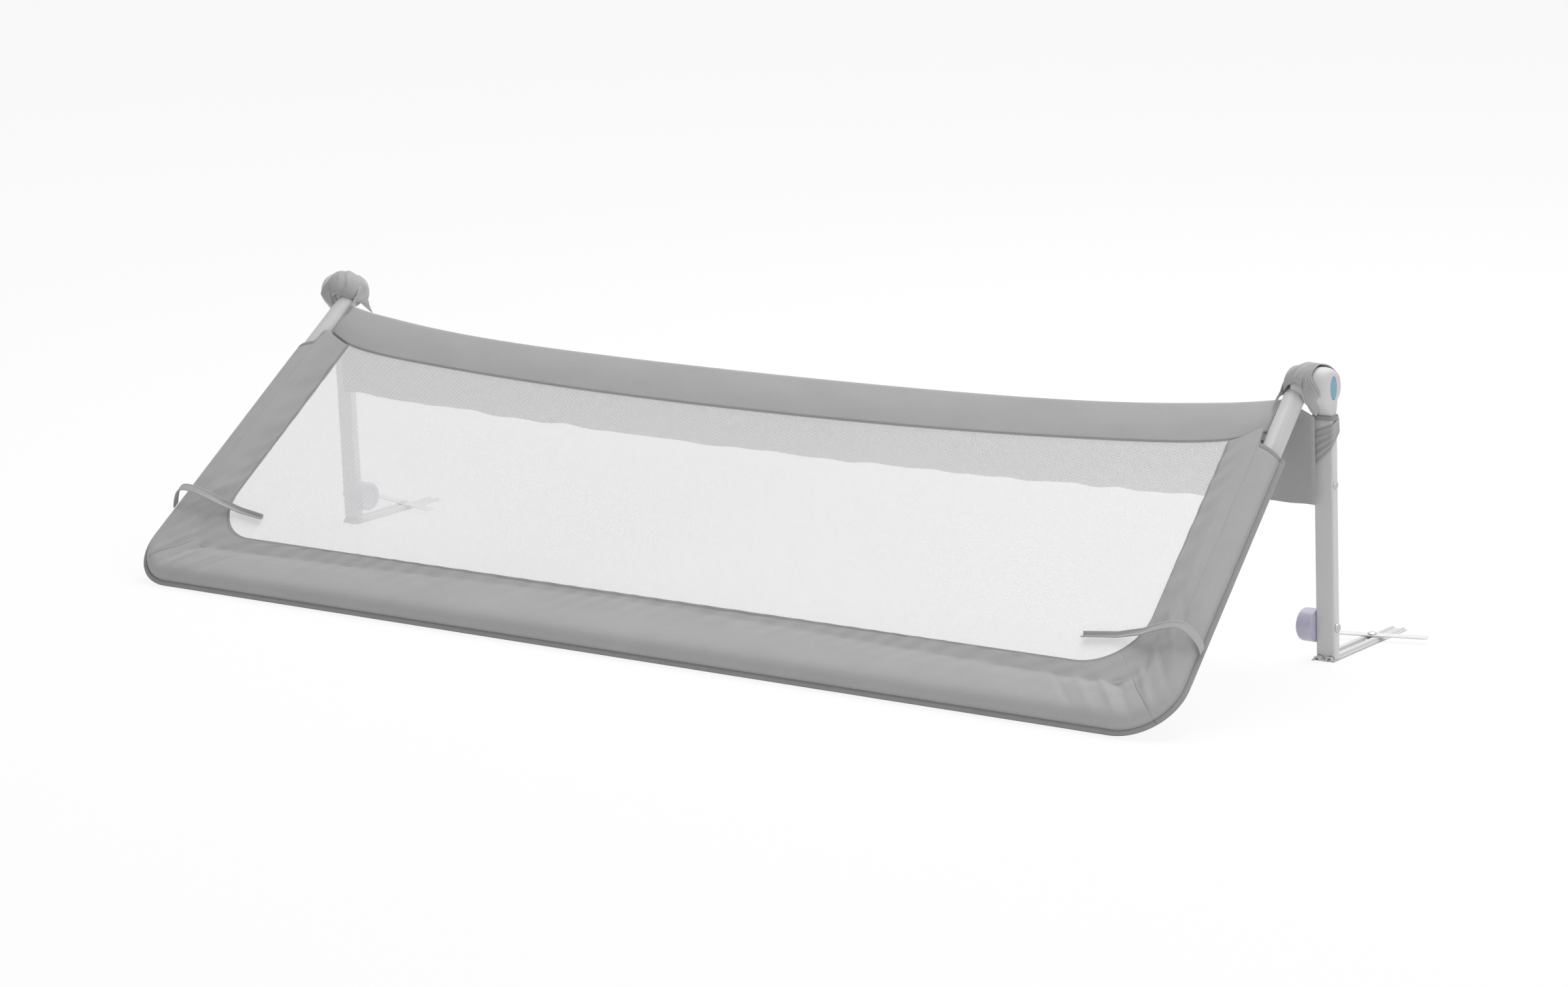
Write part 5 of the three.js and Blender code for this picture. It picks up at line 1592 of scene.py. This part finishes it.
    def front_angle(self, x: np.ndarray, beside: np.ndarray, inboard: np.ndarray) -> np.ndarray:
        """Angle of the front edge, which arches over the leg and reaches low beside it.

        Args:
            x: Distance from the joint.
            beside: Share that lies over the housing.
            inboard: Share that lies inboard of the leg.

        Returns:
            Degrees forward of straight up.
        """
        over_leg = np.sin(np.clip(x / self.shoulder, 0, 1) * math.pi)
        arch = self.arches[self.side is Side.RIGHT] - self.arch_rise * over_leg
        outward = np.clip((x - self.front_start) / (self.outer + self.spread - self.front_start), 0, 1)
        lower = self.front + (self.front_outer - self.front) * outward
        front = arch * (1 - beside) + lower * beside
        return front * (1 - inboard) + self.face_front * inboard

    def slack(self, u: np.ndarray, x: np.ndarray, outer: np.ndarray, run: np.ndarray) -> np.ndarray:
        """Gathers at the elastic edge and loose folds over the rest.

        Args:
            u: Share of each row from the front edge to the back edge.
            x: Distance from the joint.
            outer: The outer edge of each row.
            run: Distance round the hinge axis.

        Returns:
            Heights off the smooth form.
        """
        gathers = np.sin((outer - x) * 2 * math.pi / self.gather + np.sin(run / 9) * 0.7) * self.gather_height
        gathers = gathers * soft_step(x, outer - self.gather_reach[0], outer - self.gather_reach[1])
        gathers = gathers * soft_step(x, outer + self.gather_end[0], outer + self.gather_end[1])
        loose = self.ripples.at(run, x + self.ripple_shift * self.side.value)
        loose = loose + sum(crease.at(run, x) for crease in self.creases)
        loose = loose * soft_step(x, self.face_x, self.face_x + 7) * soft_step(x, 10, 3)
        loose = loose * soft_step(u, 0, 0.06)
        return gathers + np.maximum(loose, -0.1)

    def grid(self) -> np.ndarray:
        """Places of the hood in rows from its front edge to its back edge and columns going inboard.

        Returns:
            The grid, for the right side, in millimetres.
        """
        u = np.linspace(0, 1, self.rows)[:, None]
        x, outer, drawn = self.columns(u)
        beside = soft_step(x, self.leg_clear, self.leg_clear + self.leg_turn)
        inboard = soft_step(x, self.shoulder, self.face_x)
        turn = np.radians(self.front_angle(x, beside, inboard) * (1 - u) - self.back * u)
        radius = self.radius - drawn + self.slack(u, x, outer, turn * self.radius)
        y = self.guard.hinge_y - radius * np.sin(turn)
        z = self.guard.hinge_z + radius * np.cos(turn)
        hang = soft_step(u, self.apron_share, 0) * beside * (1 - inboard)
        apron_z = self.apron_height + self.apron_slope * np.maximum(0, x - self.apron_start)
        y = y + hang * (self.guard.hinge_y - self.apron_out - y)
        z = z + hang * (apron_z + self.apron_wave * np.sin(x * 1.3) - z)
        face_x, face_y, face_z = self.face(u, y[:, -1:], z[:, -1:])
        return np.stack([
            self.joint_x + np.concatenate([x, face_x], axis=1),
            np.concatenate([y, face_y], axis=1),
            np.concatenate([z, face_z], axis=1),
        ], axis=2)

    def face(self, u: np.ndarray, y: np.ndarray, z: np.ndarray) -> tuple[np.ndarray, np.ndarray, np.ndarray]:
        """Places of the inboard face, which hangs from the rim down to the hem.

        Args:
            u: Share of each row from the front edge to the back edge.
            y: Y of the rim in each row.
            z: Height of the rim in each row.

        Returns:
            Distance from the joint, Y and height of each point.
        """
        share = np.linspace(0, 1, 22)[None, 1:]
        knots = np.array(self.hem)
        face_y = y * (1 - share) + np.interp(u, knots[:, 0], knots[:, 1]) * share
        face_z = z * (1 - share) + np.interp(u, knots[:, 0], knots[:, 2]) * share
        lean = self.face_lean * soft_step(share, 0.4, 1) * soft_step(u, 0.35, 0.1)
        hollow = sum(crease.at(face_y, face_z) for crease in self.face_creases)
        hollow = hollow + self.face_ripples.at(face_y, face_z)
        swell = np.maximum(hollow, -0.3) * soft_step(share, 0, 0.2)
        return self.face_x - lean - swell, face_y, face_z

    def neck_strap(self) -> bpy.types.Object:
        """Builds the elastic strap that holds the hood round the housing's neck.

        Returns:
            The strap, with a live Solidify modifier.
        """
        turns = np.linspace(0, 2 * math.pi, 64, endpoint=False)
        ways = np.stack([np.cos(turns), np.sin(turns)], axis=1)
        shape = np.sign(ways) * np.abs(ways) ** self.neck_squareness * np.array(self.neck_half)
        outwards = shape / np.linalg.norm(shape, axis=1)[:, None]
        rows = []
        for share in np.linspace(0, 1, 7):
            height = self.neck_height[0] * (1 - share) + self.neck_height[1] * share
            place = shape + outwards * (self.elastic_swell * math.sin(share * math.pi))
            rows.append(np.stack([
                (self.neck_x + place[:, 0]) * self.side.value,
                self.guard.upright_y + place[:, 1],
                np.full(len(place), height),
            ], axis=1))
        grid = np.stack(rows, axis=1)
        made = mesh_object(f"{self.side.label}_hood_elastic", grid.reshape(-1, 3),
                           grid_faces(len(turns), len(rows), closed_rows=True),
                           self.finishes.tape, run_lengths(grid).reshape(-1, 2))
        thicken(made, self.elastic, 0)
        return made

    def build(self) -> bpy.types.Object:
        """Builds the hood with its hem and elastic, attached to no body.

        Returns:
            The hood.
        """
        grid = self.grid()
        centre = np.array([self.joint_x - 8, self.guard.hinge_y, self.guard.hinge_z])
        lifted = grid + grid_normals(grid, centre) * (self.cloth / 2 + self.stitch_lift)
        self.stitching.add("guard", lifted[:, -4] * self.side.mirror)
        self.stitching.add("guard", lifted[5, 40:] * self.side.mirror)
        cap = cloth_object("cap", grid * self.side.mirror, self.finishes.cloth, self.cloth)
        made = joined(f"{self.side.label}_hood_cloth", [cap, self.neck_strap()])
        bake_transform(made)
        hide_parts(f"{self.side.label}_hinge_hood")
        return made


@dataclass
class Wrap:
    """The end of the skirt, wrapped slantwise round an upright."""

    guard: GuardFrame
    finishes: Finishes
    side: Side
    upright_x: float = 736.0
    half_width: float = 13.4
    half_depth: float = 7.4
    corner_ease: float = 2.0
    low: float = 231.0
    high: float = 264.0
    rake: float = 1.02
    top_rake_share: float = 0.4
    cloth: float = 1.2
    pleats: float = 4.2
    pleat_drift: float = 1.1
    pleat_height: float = 0.6
    fine_pleat_share: float = 0.35

    def outline(self, distance: np.ndarray) -> np.ndarray:
        """Places round the upright, from its inboard front corner.

        Args:
            distance: Distances round three of its faces.

        Returns:
            Pairs of places along X and Y from the upright's middle.
        """
        x, y = self.half_width, self.half_depth
        corners = np.array([[-x, -y], [x, -y], [x, y], [-x, y]])
        starts = np.array([0, 2 * x, 2 * x + 2 * y, 4 * x + 2 * y])
        return np.stack([np.interp(distance, starts, corners[:, axis]) for axis in (0, 1)], axis=-1)

    def build(self) -> bpy.types.Object:
        """Builds the wrap, which rides on its upright.

        Returns:
            The wrap.
        """
        total = 4 * self.half_width + 2 * self.half_depth
        distance = np.linspace(0, total, 73)
        ease = self.corner_ease
        ring = sum(self.outline(distance + shift) for shift in (-ease, ease, 0)) / 3
        v = np.linspace(0, 1, 33)[None, :]
        front_and_side = 2 * self.half_width + 2 * self.half_depth
        climb = self.rake * (np.minimum(distance, front_and_side) - self.half_width)[:, None]
        z = self.low * (1 - v) + self.high * v + climb * (1 - v * (1 - self.top_rake_share))
        outwards = ring / np.linalg.norm(ring, axis=1)[:, None]
        phase = v * self.pleats + distance[:, None] / total * self.pleat_drift
        pleat = np.sin(phase * 2 * math.pi) + self.fine_pleat_share * np.sin(phase * 5.1 + 1.2)
        pleat = self.pleat_height * pleat * soft_step(v, 0, 0.12)
        pleat = np.maximum(pleat + 0.1, -0.25) * soft_step(v, 1, 0.9)
        place = ring[:, None, :] + outwards[:, None, :] * pleat[..., None]
        x = (self.upright_x + place[..., 0]) * self.side.value
        grid = np.stack([x, self.guard.upright_y + place[..., 1], z], axis=2)
        made = cloth_object(f"{self.side.label}_wrap_cloth", grid, self.finishes.cloth, self.cloth)
        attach(made, f"{self.side.label}_upright")
        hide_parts(f"{self.side.label}_upright_wrap")
        return made


@dataclass
class TieStrap:
    """The tie strap, sewn in at the outer seam and arched over the sleeve to its free end."""

    guard: GuardFrame
    cover: Cover
    finishes: Finishes
    stitching: Stitching
    side: Side
    width: float = 10.0
    drop: float = 372.8
    reach: float = 150.0
    arch: float = 14.0
    arch_end_share: float = 0.85
    climb: float = 13.0
    clear: float = 1.2
    curl: float = 3.0
    narrowing_share: float = 0.22
    rib_height: float = 0.3
    rib_place_share: float = 0.41
    rib_width_share: float = 0.04
    root_turn: float = 11.0
    root_depth: float = 2.0
    cloth: float = 1.3
    stitch_lift: float = 0.1

    def build(self) -> bpy.types.Object:
        """Builds the strap, which rides on the guard.

        Returns:
            The strap.
        """
        u = np.linspace(0, 1, 97)[:, None]
        v = np.linspace(-0.5, 0.5, 17)[None, :]
        sewn = self.cover.binding_edge - CLOTH
        x = self.guard.leg_x(self.drop) + sewn - self.reach * u**2
        drop = self.drop - self.climb * np.sin(u * math.pi) + self.width * v
        across = x - self.guard.leg_x(drop)
        root_share = np.clip((across - self.root_turn) / (sewn - self.root_turn), 0, 1)
        rest = self.cover.half_depth(np.minimum(across, self.root_turn))
        seat = rest * (1 - root_share) + self.root_depth * root_share + self.cloth / 2 + self.clear
        lift = self.arch * np.sin(np.clip(u / self.arch_end_share, 0, 1) * math.pi)
        cup = self.curl * (4 * v**2) * soft_step(u, 0.45, 1.0)
        drop = drop - self.width * v * self.narrowing_share * soft_step(u, 0.6, 1.0)
        beside_rib = (np.abs(v) - self.rib_place_share) / self.rib_width_share
        rib = self.rib_height * np.exp(-(beside_rib**2))
        x, out, drop = np.broadcast_arrays(x, seat + lift + cup + rib, drop)
        grid = self.guard.placed(x, out, drop) * self.side.mirror
        lifted = self.guard.placed(x, out + self.cloth / 2 + self.stitch_lift, drop) * self.side.mirror
        for column in (2, -3):
            self.stitching.add("guard", lifted[:, column])
        made = cloth_object(f"{self.side.label}_strap_tape", grid, self.finishes.webbing, self.cloth)
        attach(made, "guard")
        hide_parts(f"{self.side.label}_tie_strap")
        return made


# Hard parts

@dataclass
class HardParts:
    """Uprights, hinges, feet and fasteners."""

    frame: dict
    finishes: Finishes
    weld: float = 0.002
    flat_within: float = math.radians(0.6)
    sharp_from: float = math.radians(34)
    break_from: float = math.radians(40)

    def dressed(self) -> dict[str, tuple[bpy.types.Material, Edge, str]]:
        """Finish, edge and record's slot of each kind of node that is refined from its own mesh.

        Returns:
            The three, by the node's name without its side.
        """
        look = self.finishes
        return {
            "upright_tube": (look.steel, Edge.TUBE, "grey_steel"),
            "foot_rail": (look.steel, Edge.SHEET, "grey_steel"),
            "foot_doubler": (look.steel, Edge.SHEET, "grey_steel"),
            "cross_strip": (look.strip, Edge.SHEET, "strip_steel"),
            "hinge_housing": (look.plastic, Edge.MOULDED, "hinge_plastic"),
            "leg_end": (look.plastic, Edge.MOULDED, "hinge_plastic"),
            "release_button": (look.button, Edge.MOULDED, "blue_plastic"),
            "clamp_knob": (look.knob, Edge.MOULDED, "knob_plastic"),
            "upper_screw": (look.zinc, Edge.SHEET, "zinc_steel"),
            "through_bolt": (look.zinc, Edge.SHEET, "zinc_steel"),
            "swivel_rivet": (look.zinc, Edge.SHEET, "zinc_steel"),
            "sheet_rivet": (look.zinc, Edge.SHEET, "zinc_steel"),
        }

    def plain(self) -> dict[str, bpy.types.Material]:
        """Finish of each kind of node that stays as it is.

        Returns:
            The finish, by the node's name without its side.
        """
        look = self.finishes
        return {
            "hinge_pin": look.zinc,
            "foot_post": look.steel,
            "leg_tube": look.steel,
            "lock_gear": look.plastic,
            "lock_spring": look.zinc,
            "connector": look.steel,
            "snap_button": look.zinc,
            "crossbar_tube": look.steel,
        }

    def refined(self, node: str, material: bpy.types.Material, edge: Edge, slot: str) -> bpy.types.Object:
        """Makes the finished form of a hard node: clean faces, broken edges and smooth shading.

        Args:
            node: The node that it stands for.
            material: Its finish.
            edge: How its edges are broken.
            slot: The record's material slot; not used.

        Returns:
            The finished piece.
        """
        bm = bmesh.new()
        bm.from_mesh(self.frame["nodes"][node].data)
        bmesh.ops.remove_doubles(bm, verts=bm.verts, dist=self.weld * MM)
        bmesh.ops.dissolve_limit(bm, angle_limit=self.flat_within, verts=bm.verts, edges=bm.edges)
        bmesh.ops.recalc_face_normals(bm, faces=bm.faces)
        mesh = bpy.data.meshes.new(f"{node}_finished")
        bm.to_mesh(mesh)
        bm.free()
        mesh.materials.append(material)
        mesh.polygons.foreach_set("use_smooth", [True] * len(mesh.polygons))
        mesh.set_sharp_from_angle(angle=self.sharp_from)
        made = placed_object(f"{node}_finished", mesh)
        if edge.value:
            bevel = made.modifiers.new("broken_edges", "BEVEL")
            bevel.width = edge.value * MM
            bevel.segments = 2
            bevel.limit_method = "ANGLE"
            bevel.angle_limit = self.break_from
            bevel.harden_normals = True
        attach(made, self.frame["nodes"][node]["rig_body"])
        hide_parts(node)
        return made

    def build(self) -> list[bpy.types.Object]:
        """Dresses every hard node.

        Returns:
            The refined pieces.
        """
        made = []
        dressed, plain = self.dressed(), self.plain()
        for node, shape in self.frame["nodes"].items():
            kind = node.split("_", 1)[1] if node.startswith(("left_", "right_")) else node
            if kind in dressed:
                made.append(self.refined(node, *dressed[kind]))
            elif kind in plain:
                shape.data.materials.clear()
                shape.data.materials.append(plain[kind])
        return made


# Stage, light and camera

@dataclass
class Studio:
    """Pale floor, white surroundings, soft lamps and the photograph's camera.

    Its places and sizes are in metres, and the lamps' power is in watts.
    """

    world_level: float = 0.42
    floor_half: float = 12.0
    floor_glow_share: float = 0.9
    key_place: tuple[float, float, float] = (0.2, 1.3, 3.2)
    key_size: float = 2.8
    key_power: float = 92.0
    fill_place: tuple[float, float, float] = (3.4, -1.0, 1.8)
    fill_size: float = 2.2
    fill_power: float = 23.0
    aim: tuple[float, float, float] = (0.0, 0.0, 0.15)
    camera_place: tuple[float, float, float] = (3.13075, -3.953152, 1.24093)
    yaw: float = math.radians(37.73)
    pitch: float = math.radians(12.31)
    roll: float = math.radians(-2.25)
    focal_pixels: float = 6657.22
    centre_shift: tuple[float, float] = (1.53, -6.79)
    frame_width: float = 2400.0

    def build_camera(self) -> None:
        """Sets up the camera at the photograph's viewing angle."""
        data = bpy.data.cameras.new("photo_camera")
        data.sensor_width = 36.0
        data.sensor_fit = "HORIZONTAL"
        data.lens = self.focal_pixels / self.frame_width * data.sensor_width
        data.shift_x = -self.centre_shift[0] / self.frame_width
        data.shift_y = self.centre_shift[1] / self.frame_width
        data.clip_start, data.clip_end = 0.05, 60.0
        level = math.cos(self.pitch)
        forward = Vector((-math.sin(self.yaw) * level, math.cos(self.yaw) * level, -math.sin(self.pitch)))
        right = Vector((math.cos(self.yaw), math.sin(self.yaw), 0))
        up = right.cross(forward)
        right_rolled = right * math.cos(self.roll) + up * math.sin(self.roll)
        up_rolled = up * math.cos(self.roll) - right * math.sin(self.roll)
        made = bpy.data.objects.new("photo_camera", data)
        turn = Matrix((right_rolled, up_rolled, -forward)).transposed().to_4x4()
        made.matrix_world = Matrix.Translation(self.camera_place) @ turn
        bpy.context.scene.collection.objects.link(made)
        bpy.context.scene.camera = made

    def seen_by_eye(self, tree: bpy.types.NodeTree) -> bpy.types.NodeSocket:
        """Adds the share of rays that the eye follows, straight or by way of a clear or shiny surface.

        Args:
            tree: The tree of a material or of the surroundings.

        Returns:
            The socket of that share.
        """
        path = add_node(tree, "ShaderNodeLightPath")
        seen = path.outputs["Is Camera Ray"]
        for ray in ("Is Transmission Ray", "Is Glossy Ray"):
            either = {0: seen, 1: path.outputs[ray]}
            seen = add_node(tree, "ShaderNodeMath", either, operation="MAXIMUM").outputs[0]
        return seen

    def build_world(self) -> None:
        """Makes the surroundings white to the eye and plain soft light to the object."""
        world = bpy.data.worlds.new("white_studio")
        bpy.context.scene.world = world
        world.use_nodes = True
        tree = world.node_tree
        tree.nodes.clear()
        seen = self.seen_by_eye(tree)
        soft = add_node(tree, "ShaderNodeBackground", {0: linear("#ffffff"), 1: self.world_level})
        white = add_node(tree, "ShaderNodeBackground", {0: linear("#ffffff"), 1: 1.0})
        mixed = add_node(tree, "ShaderNodeMixShader", {0: seen, 1: soft.outputs[0], 2: white.outputs[0]})
        add_node(tree, "ShaderNodeOutputWorld", {0: mixed.outputs[0]})

    def build_floor(self) -> None:
        """Makes the pale floor, which keeps a faint shadow and is white to the eye."""
        half = self.floor_half
        corners = [(-half, -half, 0), (half, -half, 0), (half, half, 0), (-half, half, 0)]
        mesh = bpy.data.meshes.new("studio_floor")
        mesh.from_pydata(corners, [], [(0, 1, 2, 3)])
        # White paper, matt, whose glow to the eye hides where the floor ends
        material, tree, out = new_material("white_paper_floor")
        share = add_node(tree, "ShaderNodeMath", {0: self.seen_by_eye(tree), 1: self.floor_glow_share},
                         operation="MULTIPLY")
        paper = add_node(tree, "ShaderNodeBsdfDiffuse", {0: linear("#fcfcfc")})
        glow = add_node(tree, "ShaderNodeEmission", {0: linear("#ffffff"), 1: 1.0})
        mixed = add_node(tree, "ShaderNodeMixShader", {
            0: share.outputs[0],
            1: paper.outputs[0],
            2: glow.outputs[0],
        })
        tree.links.new(mixed.outputs[0], out.inputs[0])
        mesh.materials.append(material)
        placed_object("studio_floor", mesh)

    def add_lamp(self, name: str, place: tuple[float, float, float], size: float, power: float) -> None:
        """Adds one large soft lamp aimed at the rail.

        Args:
            name: The lamp's name.
            place: Where it hangs, in metres.
            size: Its side in metres.
            power: Its power in watts.
        """
        data = bpy.data.lights.new(name, "AREA")
        data.shape = "SQUARE"
        data.size = size
        data.energy = power
        lamp = bpy.data.objects.new(name, data)
        lamp.location = place
        way = Vector(self.aim) - Vector(place)
        lamp.rotation_euler = way.to_track_quat("-Z", "Y").to_euler()
        bpy.context.scene.collection.objects.link(lamp)

    def build(self) -> None:
        """Builds the camera, the surroundings, the floor and the lamps."""
        self.build_camera()
        self.build_world()
        self.build_floor()
        self.add_lamp("key_lamp", self.key_place, self.key_size, self.key_power)
        self.add_lamp("fill_lamp", self.fill_place, self.fill_size, self.fill_power)
        bpy.context.scene.view_settings.view_transform = "Standard"


def main() -> None:
    """Builds the rail's looks, piece by piece."""
    logging.basicConfig(level=logging.INFO, format="%(name)s: %(message)s")
    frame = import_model()
    Studio().build()
    finishes = Finishes.make()
    hinge = next(joint for joint in frame["joints"] if joint["name"] == "fold_right")
    guard = GuardFrame(Vector(hinge["pos_m"]))
    cover = Cover(guard)
    stitching = Stitching(finishes)
    for made in HardParts(frame, finishes).build():
        LOG.info("%s", made.name)
    for made in SleeveBuilder(guard, cover, finishes, stitching).build():
        LOG.info("%s", made.name)
    LOG.info("%s", HingePanel(guard, cover, finishes, stitching).build().name)
    LOG.info("%s", WindowNet(guard, cover, finishes).build().name)
    for side in Side:
        LOG.info("%s", Hood(guard, finishes, stitching, side).build().name)
        LOG.info("%s", Wrap(guard, finishes, side).build().name)
        LOG.info("%s", TieStrap(guard, cover, finishes, stitching, side).build().name)
    for made in stitching.build():
        LOG.info("%s", made.name)
    bpy.context.view_layer.update()


if __name__ == "__main__":
    main()
